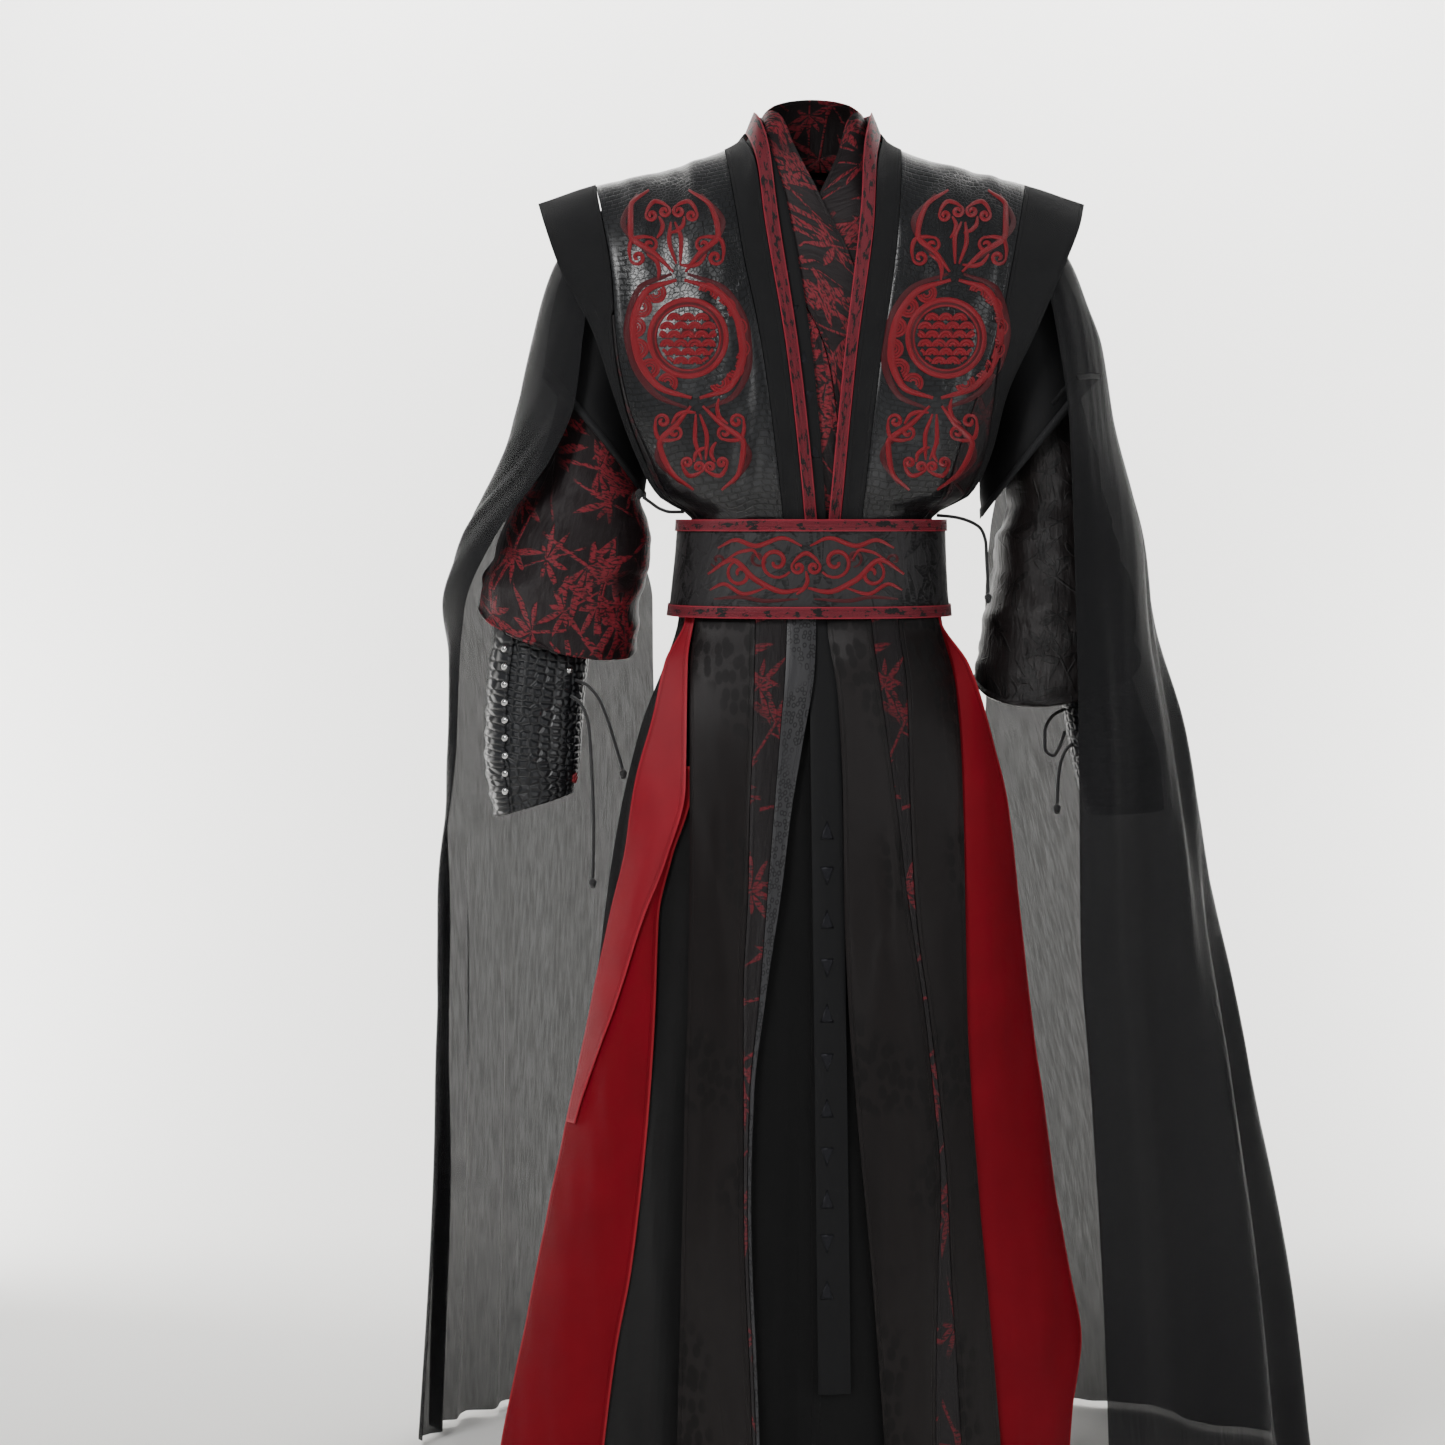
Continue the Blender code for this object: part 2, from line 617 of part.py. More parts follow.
RIPPLED_ANGLES, RIPPLED_TURN = (0.7, 1.1), 1.5


def skirt_row(v, end=HEM, start=SKIRT_TOP):
    """The drop of a row of the skirt: the first row lies under the belt."""
    under_belt = 1 / SKIRT_ROWS
    if v < under_belt and start == SKIRT_TOP:
        return mix(SKIRT_TOP, BELT_BOTTOM + FIRST_ROW_GAP, v / under_belt)
    if start == SKIRT_TOP:
        return mix(BELT_BOTTOM + FIRST_ROW_GAP, end, (v - under_belt) / (1 - under_belt))
    return mix(start, end, v)


def strip(table, near, far, layer, end=HEM):
    """A hanging panel between two edges of its group."""

    def point(u, v):
        drop = skirt_row(v, end)
        return on_skirt(between(table(near, drop), table(far, drop), u), drop, layer)

    return point


def skirt():
    for name, near, far, across, finish in (
        ("skirt_satin_left", "side", "seam_a", 5, "satin"),
        ("skirt_brocade_left", "seam_a", "seam_b", 2, "brocade"),
        ("skirt_print_left", "seam_b", "fold", 2, "print"),
    ):
        cloth(name, strip(LEFT_GROUP, near, far, SATIN_LAYER), across, SKIRT_ROWS, SATIN, finish)
    for name, near, far, across, finish in (
        ("skirt_satin_right_inner", "fold", "seam_a", 4, "satin"),
        ("skirt_brocade_right", "seam_a", "seam_b", 2, "brocade"),
        ("skirt_satin_right_outer", "seam_b", "side", 4, "satin"),
    ):
        cloth(name, strip(RIGHT_GROUP, near, far, SATIN_LAYER), across, SKIRT_ROWS, SATIN, finish)
    band = strip(BAND, "left", "right", BAND_LAYER, end=1.30)
    cloth("gown_front_band", band, 2, SKIRT_ROWS, SHEER, "sheer")

    def red(table, near, far, lift, end=HEM, start=SKIRT_TOP):
        def point(u, v):
            drop = skirt_row(v, end, start)
            x_in, x_out = table("in_x", drop), table("out_x", drop)
            inner = on_skirt(x_in, drop, RED_LAYER)
            first, last = table(near, drop), table(far, drop)
            x = mix(first, last, u)
            t = min(max((x - x_in) / (x_out - x_in), 0.0), 1.0)
            y = mix(inner[1], table("out_y", drop), t) - RED_BULGE * t * (1 - t) * ramp(drop, *RED_BULGE_DROPS)
            return (x, y - lift * ramp(drop, *FLAP_LIFT_DROPS), -drop)

        return point

    cloth("skirt_red_left", red(RED_LEFT, "out_x", "in_x", 0.0, HEM, GORE_START), 4, SKIRT_ROWS, SATIN, "crimson")
    flap = red(RED_LEFT, "out_x", "flap", FLAP_LIFT, FLAP_END)
    cloth("skirt_red_left_flap", flap, 3, SKIRT_ROWS, SATIN, "crimson")
    cloth("skirt_red_right", red(RED_RIGHT, "in_x", "out_x", 0.0), 4, SKIRT_ROWS, SATIN, "crimson")

    for name, start, end, finish in UNDER_GORES:
        cloth(name, gore(start, end), GORE_COLUMNS, SKIRT_ROWS, SATIN, finish)


def gore(start, end):
    """A gore of the black skirt, with even pleats at the sides and back."""

    def point(u, v):
        drop = skirt_row(v)
        half_gap = SEAM / 2 / SKIRT("width", drop)
        first, last = (half_gap ** (1.0 if edge % 180 else ROUNDNESS / 2) for edge in (start, end))
        angle = mix(math.radians(start) + first, math.radians(end) - last, u)
        x, y, z = round_ring(SKIRT, angle, drop, tighter(UNDER_LAYER, drop), SKIRT_MIDDLE)
        turned = abs(math.remainder(angle, 2 * math.pi))
        pleats = ramp(turned, *PLEATED_ANGLES) * ramp(drop, BELT_BOTTOM, PLEATS_DEEPEST) * SIDE_PLEAT_DEPTH
        deep = pleats * (0.5 - 0.5 * math.cos(SIDE_PLEATS * angle))
        in_front = ripple(x, drop) * (1 - ramp(turned, *RIPPLED_ANGLES)) * math.cos(min(turned, RIPPLED_TURN))
        return (x - deep * math.sin(angle), y - in_front + deep * math.cos(angle), z)

    return point


def tube(table):
    """A lofted tube round an arm: each ring runs between its left and right points, deep in y."""

    def point(u, v):
        angle = math.pi * (1 - 2 * u)
        end = table.rows[-1, 0]
        at = v * end
        t = 0.5 + 0.5 * math.cos(angle)
        x = mix(table("left_x", at), table("right_x", at), t)
        drop = mix(table("left_drop", at), table("right_drop", at), t)
        drop += table("sag", at) * max(math.sin(angle), 0.0)
        return (x, table("middle_y", at) - table("half_y", at) * math.sin(angle), -drop)

    return point


SLEEVE_LEFT = Table(
    "ring left_x left_drop right_x right_drop middle_y half_y sag",
    (0, -0.1982, 0.0480, -0.1700, 0.2060, 0.000, 0.044, 0.000),
    (1, -0.2480, 0.1400, -0.1800, 0.2560, 0.000, 0.056, 0.000),
    (2, -0.2700, 0.2400, -0.1880, 0.3200, -0.003, 0.062, 0.000),
    (3, -0.2910, 0.3210, -0.1900, 0.3740, -0.006, 0.066, 0.002),
    (4, -0.3340, 0.4080, -0.1760, 0.4300, -0.010, 0.076, 0.004),
    (5, -0.3560, 0.4680, -0.1920, 0.4980, -0.016, 0.081, 0.008),
    (6, -0.3650, 0.5020, -0.1960, 0.5500, -0.020, 0.080, 0.020),
    (7, -0.3550, 0.5040, -0.2060, 0.5480, -0.022, 0.072, 0.018),
    (8, -0.3420, 0.5150, -0.2414, 0.5413, -0.037, 0.0416, 0.000),
)
SLEEVE_RIGHT = Table(
    "ring left_x left_drop right_x right_drop middle_y half_y sag",
    (0, 0.1660, 0.2060, 0.1910, 0.0492, 0.000, 0.044, 0.000),
    (1, 0.1860, 0.2560, 0.2470, 0.1400, 0.000, 0.056, 0.000),
    (2, 0.2050, 0.3200, 0.2800, 0.2400, -0.003, 0.062, 0.000),
    (3, 0.2120, 0.3700, 0.3020, 0.3210, -0.006, 0.068, 0.002),
    (4, 0.2000, 0.4320, 0.3220, 0.4000, -0.010, 0.074, 0.006),
    (5, 0.1880, 0.5050, 0.3420, 0.4750, -0.014, 0.079, 0.012),
    (6, 0.1740, 0.5820, 0.3560, 0.5520, -0.018, 0.078, 0.036),
    (7, 0.1860, 0.5800, 0.3540, 0.5520, -0.018, 0.074, 0.032),
    (8, 0.2545, 0.5531, 0.3320, 0.5365, -0.027, 0.0402, 0.000),
)
CAP_LEFT = Table(
    "ring left_x left_drop right_x right_drop middle_y half_y sag",
    (0, -0.2022, 0.0478, -0.1700, 0.2200, 0.000, 0.052, 0.000),
    (1, -0.2420, 0.0900, -0.1790, 0.2650, 0.000, 0.061, 0.000),
    (2, -0.2760, 0.1600, -0.1840, 0.3200, -0.001, 0.067, 0.000),
    (3, -0.2940, 0.2570, -0.1850, 0.3850, -0.004, 0.074, -0.010),
)
CAP_RIGHT = Table(
    "ring left_x left_drop right_x right_drop middle_y half_y sag",
    (0, 0.1660, 0.2200, 0.1950, 0.0462, 0.000, 0.052, 0.000),
    (1, 0.1760, 0.2750, 0.2400, 0.0900, 0.000, 0.061, 0.000),
    (2, 0.1820, 0.3350, 0.2780, 0.1600, -0.001, 0.067, 0.000),
    (3, 0.1840, 0.4040, 0.3080, 0.2590, -0.004, 0.074, -0.012),
)
BRACER_LEFT = Table(
    "ring left_x left_drop right_x right_drop middle_y half_y sag",
    (0, -0.3370, 0.4900, -0.2400, 0.5200, -0.034, 0.040, 0.000),
    (1, -0.3510, 0.5900, -0.2490, 0.6050, -0.046, 0.043, 0.000),
    (2, -0.3530, 0.6600, -0.2540, 0.6700, -0.058, 0.042, 0.000),
    (3, -0.3430, 0.7250, -0.2600, 0.7000, -0.064, 0.037, 0.000),
)
BRACER_RIGHT = Table(
    "ring left_x left_drop right_x right_drop middle_y half_y sag",
    (0, 0.2500, 0.5300, 0.3200, 0.5050, -0.024, 0.038, 0.000),
    (1, 0.2690, 0.6070, 0.3560, 0.6100, -0.034, 0.042, 0.000),
    (2, 0.2800, 0.6700, 0.3740, 0.6600, -0.040, 0.042, 0.000),
    (3, 0.2960, 0.7260, 0.3800, 0.7200, -0.044, 0.037, 0.000),
)
SLEEVE_COLUMNS, SLEEVE_ROWS = 16, 8
CAP_COLUMNS, CAP_ROWS = 16, 3


def sleeves():
    for name, sleeve, cap, bracer in (
        ("left", SLEEVE_LEFT, CAP_LEFT, BRACER_LEFT),
        ("right", SLEEVE_RIGHT, CAP_RIGHT, BRACER_RIGHT),
    ):
        cloth(f"inner_sleeve_{name}", tube(sleeve), SLEEVE_COLUMNS, SLEEVE_ROWS, JACQUARD, "brocade", closed=True)
        cloth(f"gown_cap_{name}", tube(cap), CAP_COLUMNS, CAP_ROWS, SHEER, "sheer", closed=True)
        cloth(f"bracer_{name}", tube(bracer), SLEEVE_COLUMNS, 3, LEATHER, "leather", closed=True)


DRAPE_LEFT = Table(
    "drop    front_x front_y side_x  side_y  back_x  back_y",
    (0.085, -0.2120, -0.051, -0.2418, 0.000, -0.2060, 0.053),
    (0.135, -0.2370, -0.073, -0.2820, 0.008, -0.2040, 0.080),
    (0.217, -0.2480, -0.084, -0.3080, 0.022, -0.2140, 0.089),
    (0.282, -0.2560, -0.090, -0.3240, 0.026, -0.2240, 0.096),
    (0.347, -0.2840, -0.088, -0.3400, 0.026, -0.2140, 0.114),
    (0.427, -0.3430, -0.074, -0.3700, 0.028, -0.1980, 0.134),
    (0.500, -0.3780, -0.030, -0.3800, 0.060, -0.1800, 0.160),
    (0.560, -0.3870, 0.010, -0.3740, 0.100, -0.1800, 0.168),
    (0.655, -0.3920, 0.030, -0.3660, 0.120, -0.1780, 0.180),
    (0.785, -0.4050, 0.040, -0.3680, 0.135, -0.1760, 0.192),
    (0.952, -0.4110, 0.045, -0.3700, 0.145, -0.1800, 0.210),
    (1.187, -0.4190, 0.050, -0.3740, 0.155, -0.1900, 0.235),
    (1.455, -0.4330, 0.055, -0.3820, 0.165, -0.2000, 0.262),
)
DRAPE_RIGHT = Table(
    "drop    front_x front_y side_x  side_y  back_x  back_y",
    (0.085, 0.2100, -0.051, 0.2398, 0.000, 0.2040, 0.053),
    (0.126, 0.2330, -0.070, 0.2750, 0.006, 0.2040, 0.077),
    (0.176, 0.2480, -0.080, 0.2960, 0.014, 0.2070, 0.087),
    (0.217, 0.2560, -0.086, 0.3120, 0.020, 0.2130, 0.091),
    (0.302, 0.2660, -0.104, 0.3270, 0.024, 0.2200, 0.101),
    (0.432, 0.2700, -0.118, 0.3600, 0.018, 0.2060, 0.136),
    (0.530, 0.2720, -0.128, 0.3720, 0.020, 0.2040, 0.158),
    (0.645, 0.2740, -0.138, 0.4000, 0.020, 0.2060, 0.174),
    (0.842, 0.2760, -0.150, 0.4400, 0.020, 0.2080, 0.198),
    (1.012, 0.2880, -0.152, 0.4750, 0.020, 0.2120, 0.214),
    (1.231, 0.3020, -0.154, 0.5140, 0.020, 0.2200, 0.236),
    (1.455, 0.3120, -0.156, 0.5450, 0.020, 0.2300, 0.260),
)
DRAPE_COLUMNS, DRAPE_ROWS = 12, 12
DRAPE_FOLDS, DRAPE_FOLD_DEPTH, DRAPE_FOLD_START = 5, 0.010, 0.6
DRAPE_FOLD_DROPS, DRAPE_SPREAD, AHEAD = (0.3, 1.2), 1.15, 0.01


def drape(table, hand):
    """A long open sleeve of the sheer gown, hung round the outer side of the arm."""

    def section(drop, s):
        """Through the front edge at 0, the outline at a half and the back edge at 1."""
        parts = ((1 - s) * (1 - 2 * s), 4 * s * (1 - s), s * (2 * s - 1))
        names = ("front", "side", "back")
        x = sum(part * table(name + "_x", drop) for part, name in zip(parts, names))
        y = sum(part * table(name + "_y", drop) for part, name in zip(parts, names))
        return x, y

    def point(u, v):
        s = u if hand > 0 else 1 - u
        drop = mix(table.rows[0, 0], HEM, v**DRAPE_SPREAD)
        x, y = section(drop, s)
        ahead_x, ahead_y = section(drop, s + AHEAD)
        length = math.hypot(ahead_x - x, ahead_y - y)
        out_x, out_y = hand * (ahead_y - y) / length, -hand * (ahead_x - x) / length
        wave = math.sin(2 * math.pi * DRAPE_FOLDS * s + DRAPE_FOLD_START)
        fold = DRAPE_FOLD_DEPTH * ramp(drop, *DRAPE_FOLD_DROPS) * wave
        return (x + fold * out_x, y + fold * out_y, -drop)

    return point


def drapes():
    for hand, table, name in ((-1, DRAPE_LEFT, "left"), (1, DRAPE_RIGHT, "right")):
        cloth(f"gown_drape_{name}", drape(table, hand), DRAPE_COLUMNS, DRAPE_ROWS, SHEER, "sheer")


LACE_ROUTES = {
    "lace_left_upper": (
        (-0.2572, -0.0689, 0.5790),
        (-0.2470, -0.0765, 0.5825),
        (-0.2340, -0.0810, 0.5950),
        (-0.2240, -0.0790, 0.6170),
        (-0.2150, -0.0765, 0.6460),
        (-0.2070, -0.0750, 0.6740),
    ),
    "lace_left_lower": (
        (-0.2618, -0.0751, 0.5960),
        (-0.2545, -0.0822, 0.6000),
        (-0.2430, -0.0880, 0.6230),
        (-0.2390, -0.0900, 0.6800),
        (-0.2375, -0.0900, 0.7300),
        (-0.2385, -0.0900, 0.7900),
    ),
    "lace_right_loop": (
        (0.2707, -0.0444, 0.6120),
        (0.2575, -0.0540, 0.6180),
        (0.2480, -0.0600, 0.6350),
        (0.2480, -0.0620, 0.6530),
        (0.2570, -0.0610, 0.6610),
        (0.2650, -0.0570, 0.6500),
        (0.2705, -0.0500, 0.6360),
    ),
    "lace_right_tail": (
        (0.2778, -0.0500, 0.6500),
        (0.2705, -0.0585, 0.6560),
        (0.2645, -0.0660, 0.6690),
        (0.2615, -0.0690, 0.6900),
        (0.2608, -0.0700, 0.7120),
    ),
    "tie_left": (
        (-0.1408, -0.0472, 0.3990),
        (-0.1550, -0.0480, 0.3990),
        (-0.1660, -0.0490, 0.3960),
        (-0.1780, -0.0500, 0.3880),
        (-0.1850, -0.0500, 0.3830),
    ),
    "tie_right": (
        (0.1314, -0.0440, 0.4025),
        (0.1500, -0.0480, 0.4045),
        (0.1660, -0.0500, 0.4090),
        (0.1790, -0.0510, 0.4180),
        (0.1840, -0.0510, 0.4340),
        (0.1848, -0.0510, 0.4520),
        (0.1860, -0.0510, 0.4700),
        (0.1865, -0.0510, 0.4860),
    ),
}
LACE_STEPS = 12
KNOTS = {
    "knot_left_upper": (-0.2062, -0.0748, 0.6798),
    "knot_left_lower": (-0.2386, -0.0900, 0.7957),
    "knot_right_tail": (0.2607, -0.0700, 0.7177),
    "knot_tie_left": (-0.1892, -0.0500, 0.3799),
    "knot_tie_right": (0.1866, -0.0510, 0.4917),
}
KNOT_WIDTH, KNOT_TALLER = 0.0078, 1.35


def smooth_route(points, steps):
    """Even points along a curve that passes through the route's own points."""
    way = Table("step x y drop", *((i, *point) for i, point in enumerate(points)))
    ends = len(points) - 1
    return [
        (way("x", ends * i / steps), way("y", ends * i / steps), -way("drop", ends * i / steps))
        for i in range(steps + 1)
    ]


def laces():
    for name, route in LACE_ROUTES.items():
        curve = bpy.data.curves.new(name, "CURVE")
        curve.dimensions = "3D"
        curve.bevel_depth = LACE / 2
        curve.bevel_resolution = 2
        curve.use_fill_caps = True
        places = smooth_route(route, LACE_STEPS)
        spline = curve.splines.new("POLY")
        spline.points.add(len(places) - 1)
        for point, place in zip(spline.points, places):
            point.co = (*place, 1.0)
        add(name, curve, "cord")
    for name, (x, y, drop) in KNOTS.items():
        ball = bmesh.new()
        bmesh.ops.create_uvsphere(ball, u_segments=8, v_segments=5, radius=KNOT_WIDTH / 2)
        mesh = bpy.data.meshes.new(name)
        ball.to_mesh(mesh)
        ball.free()
        mesh.shade_smooth()
        knot = add(name, mesh, "cord")
        knot.location = (x, y, -drop)
        knot.scale = (1.0, 1.0, KNOT_TALLER)


def build():
    vest()
    gown_and_robe()
    belt()
    skirt()
    sleeves()
    drapes()
    laces()


for thing in list(bpy.data.objects):
    bpy.data.objects.remove(thing)
bpy.context.scene.collection.children.link(bpy.data.collections.new(COLLECTION))
build()
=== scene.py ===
"""The looks of the worn hanfu set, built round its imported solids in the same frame."""

import bisect
import math

import bmesh
import bpy
from mathutils import Matrix, Vector, noise
from mathutils.bvhtree import BVHTree


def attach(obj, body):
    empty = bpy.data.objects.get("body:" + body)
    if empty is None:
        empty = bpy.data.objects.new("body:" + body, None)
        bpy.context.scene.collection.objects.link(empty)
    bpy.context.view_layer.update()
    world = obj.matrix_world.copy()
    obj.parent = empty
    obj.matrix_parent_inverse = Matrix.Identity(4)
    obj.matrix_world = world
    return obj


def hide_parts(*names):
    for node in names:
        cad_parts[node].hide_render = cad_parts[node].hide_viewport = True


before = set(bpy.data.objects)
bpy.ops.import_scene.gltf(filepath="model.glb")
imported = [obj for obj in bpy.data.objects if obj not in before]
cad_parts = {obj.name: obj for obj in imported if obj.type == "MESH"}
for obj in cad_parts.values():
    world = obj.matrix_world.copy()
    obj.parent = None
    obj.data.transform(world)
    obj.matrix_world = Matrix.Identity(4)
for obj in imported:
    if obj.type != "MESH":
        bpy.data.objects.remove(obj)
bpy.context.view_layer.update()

EYE, TARGET = (-0.09955, -3.0, -0.41), (-0.09955, 0.0, -0.62975)
LENS, SENSOR = 68.13, 36.0
camera = bpy.data.objects.new("camera", bpy.data.cameras.new("camera"))
camera.data.lens = LENS
camera.data.sensor_width = SENSOR
camera.location = EYE
camera.rotation_euler = (Vector(TARGET) - Vector(EYE)).to_track_quat("-Z", "Y").to_euler()
bpy.context.scene.collection.objects.link(camera)
bpy.context.scene.camera = camera


SEAM = 0.0008
SHEER = 0.0010
SATIN = 0.0012
JACQUARD = 0.0012
LEATHER = 0.0016
BELT = 0.0030
LAYER = 0.0034
BELT_TOP, BELT_BOTTOM = 0.408, 0.510
WAIST, TUCK = 0.405, 0.436
TUCK_ROW, ROW_SPREAD = 0.9, 1.5
HEM = 1.455
ROUNDNESS = 2.5
SHOULDER_ROLL = 0.10
LACE = 0.0036

VEST, GOWN, ROBE_OVER, ROBE_UNDER = 0.0, -LAYER, -1.98 * LAYER, -3.2 * LAYER
SATIN_LAYER, BAND_LAYER, RED_LAYER, UNDER_LAYER = 0.0, -0.0040, -0.0045, -0.0085
FRONT_ROWS, BACK_ROWS, NECK_COLUMNS, BACK_COLUMNS = 10, 10, 5, 3


class Table:
    """Named columns over a first column, joined by curves that never pass beyond their rows."""

    def __init__(self, columns, *rows):
        self.rows = rows
        self.keys = [row[0] for row in rows]
        self.curves = {}
        for name, values in zip(columns.split(), zip(*rows)):
            slopes = [
                (after - before) / (end - start)
                for before, after, start, end in zip(values, values[1:], self.keys, self.keys[1:])
            ]
            inner = [2 * a * b / (a + b) if a * b > 0 else 0.0 for a, b in zip(slopes, slopes[1:])]
            self.curves[name] = (values, [slopes[0], *inner, slopes[-1]])

    def __call__(self, column, at):
        values, tangents = self.curves[column]
        at = min(max(at, self.keys[0]), self.keys[-1])
        i = min(max(bisect.bisect_right(self.keys, at) - 1, 0), len(values) - 2)
        step = self.keys[i + 1] - self.keys[i]
        t = (at - self.keys[i]) / step
        rise = values[i + 1] - values[i]
        bend = tangents[i] * (1 - t) - tangents[i + 1] * t
        return values[i] + rise * t * t * (3 - 2 * t) + step * t * (1 - t) * bend


def mix(a, b, t):
    return a + (b - a) * t


def ramp(at, start, end):
    """0 before start, 1 after end, smooth between."""
    t = min(max((at - start) / (end - start), 0.0), 1.0)
    return t * t * (3 - 2 * t)


TRUNK = Table(
    "drop    width  front  back   chest",
    (-0.060, 0.300, 0.050, 0.074, 0.200),
    (0.000, 0.300, 0.062, 0.084, 0.200),
    (0.058, 0.300, 0.084, 0.098, 0.196),
    (0.138, 0.296, 0.108, 0.112, 0.178),
    (0.224, 0.288, 0.130, 0.122, 0.166),
    (0.288, 0.268, 0.137, 0.122, 0.160),
    (0.337, 0.236, 0.136, 0.116, 0.150),
    (0.380, 0.184, 0.131, 0.107, 0.140),
    (0.405, 0.1407, 0.1222, 0.0982, 0.110),
    (0.450, 0.1407, 0.1222, 0.0982, 0.110),
)
SHOULDER = Table(
    "x       drop",
    (0.000, -0.078),
    (0.030, -0.068),
    (0.046, -0.058),
    (0.056, -0.046),
    (0.066, -0.024),
    (0.075, -0.004),
    (0.096, 0.009),
    (0.169, 0.033),
    (0.236, 0.047),
    (0.300, 0.068),
)
LEAN = -0.002
OUT_PER_LAYER, DOWN_PER_LAYER = 1.3, 0.9
SHOULDER_GAP, COLLAR_GAP, SIDE_DEPTH = 0.0008, 0.0024, 0.12
NECK_TIGHTER = 8.0
ARMHOLE_TURN, SIDE_SEAM_DROPS = (0.12, 0.24), (0.19, 0.26)
ARMHOLE_SHARE, SEAM_SHARE, BACK_SEAM_SHARE = 0.80, 0.985, 0.96
TURNED_COLUMNS, TURNED_ANGLES = (0.5, 1.0), (1.0, 1.5)
CROSSED_DROPS = (0.0, 0.08)


def shoulder_top(x, offset):
    """The drop of a layer's shoulder line, moved in square to the line's own slope."""
    return SHOULDER("drop", abs(x) - OUT_PER_LAYER * offset) - DOWN_PER_LAYER * offset


def trunk_depth(x, drop, side, offset):
    """How far a layer of the trunk stands from the shoulder plane, in front (-1) or behind (+1)."""
    width = TRUNK("width", drop) + offset
    depth = TRUNK("front" if side < 0 else "back", drop) + offset
    across = min(abs(x) / width, 1.0)
    roll = min(max((drop - shoulder_top(x, offset)) / SHOULDER_ROLL, 0.0), 1.0)
    return depth * (1 - across**ROUNDNESS) ** (1 / ROUNDNESS) * math.sqrt(1 - (1 - roll) ** 2)


def at_row(v, top=0.0):
    """The drop of a row: closer together near the shoulder, and the last one under the belt."""
    if v > TUCK_ROW:
        return mix(WAIST, TUCK, (v - TUCK_ROW) / (1 - TUCK_ROW))
    return mix(top, WAIST, (v / TUCK_ROW) ** ROW_SPREAD)


def on_trunk(x, v, side, offset, shoulder_gap=0.0):
    """The point of a layer at a distance x from the middle, on row v of the front or the back."""
    drop = at_row(v, shoulder_top(x, offset))
    y = trunk_depth(x, drop, side, offset) + shoulder_gap
    return (x + LEAN, side * y, -drop)


def on_neck(x, drop, offset):
    """The point of a layer behind the neck."""
    drop = drop + shoulder_top(x, offset) - shoulder_top(x, 0.0)
    return (x + LEAN, trunk_depth(x, drop, 1, offset) * (1 + NECK_TIGHTER * offset), -drop)


STITCH_INSET, STITCH_HALF, STITCH_PITCH = 0.0045, 0.0008, 0.0036
STITCH_SHARE, STITCH_DEPTH = 0.72, 0.0006
SPRAY_REACH = 0.56


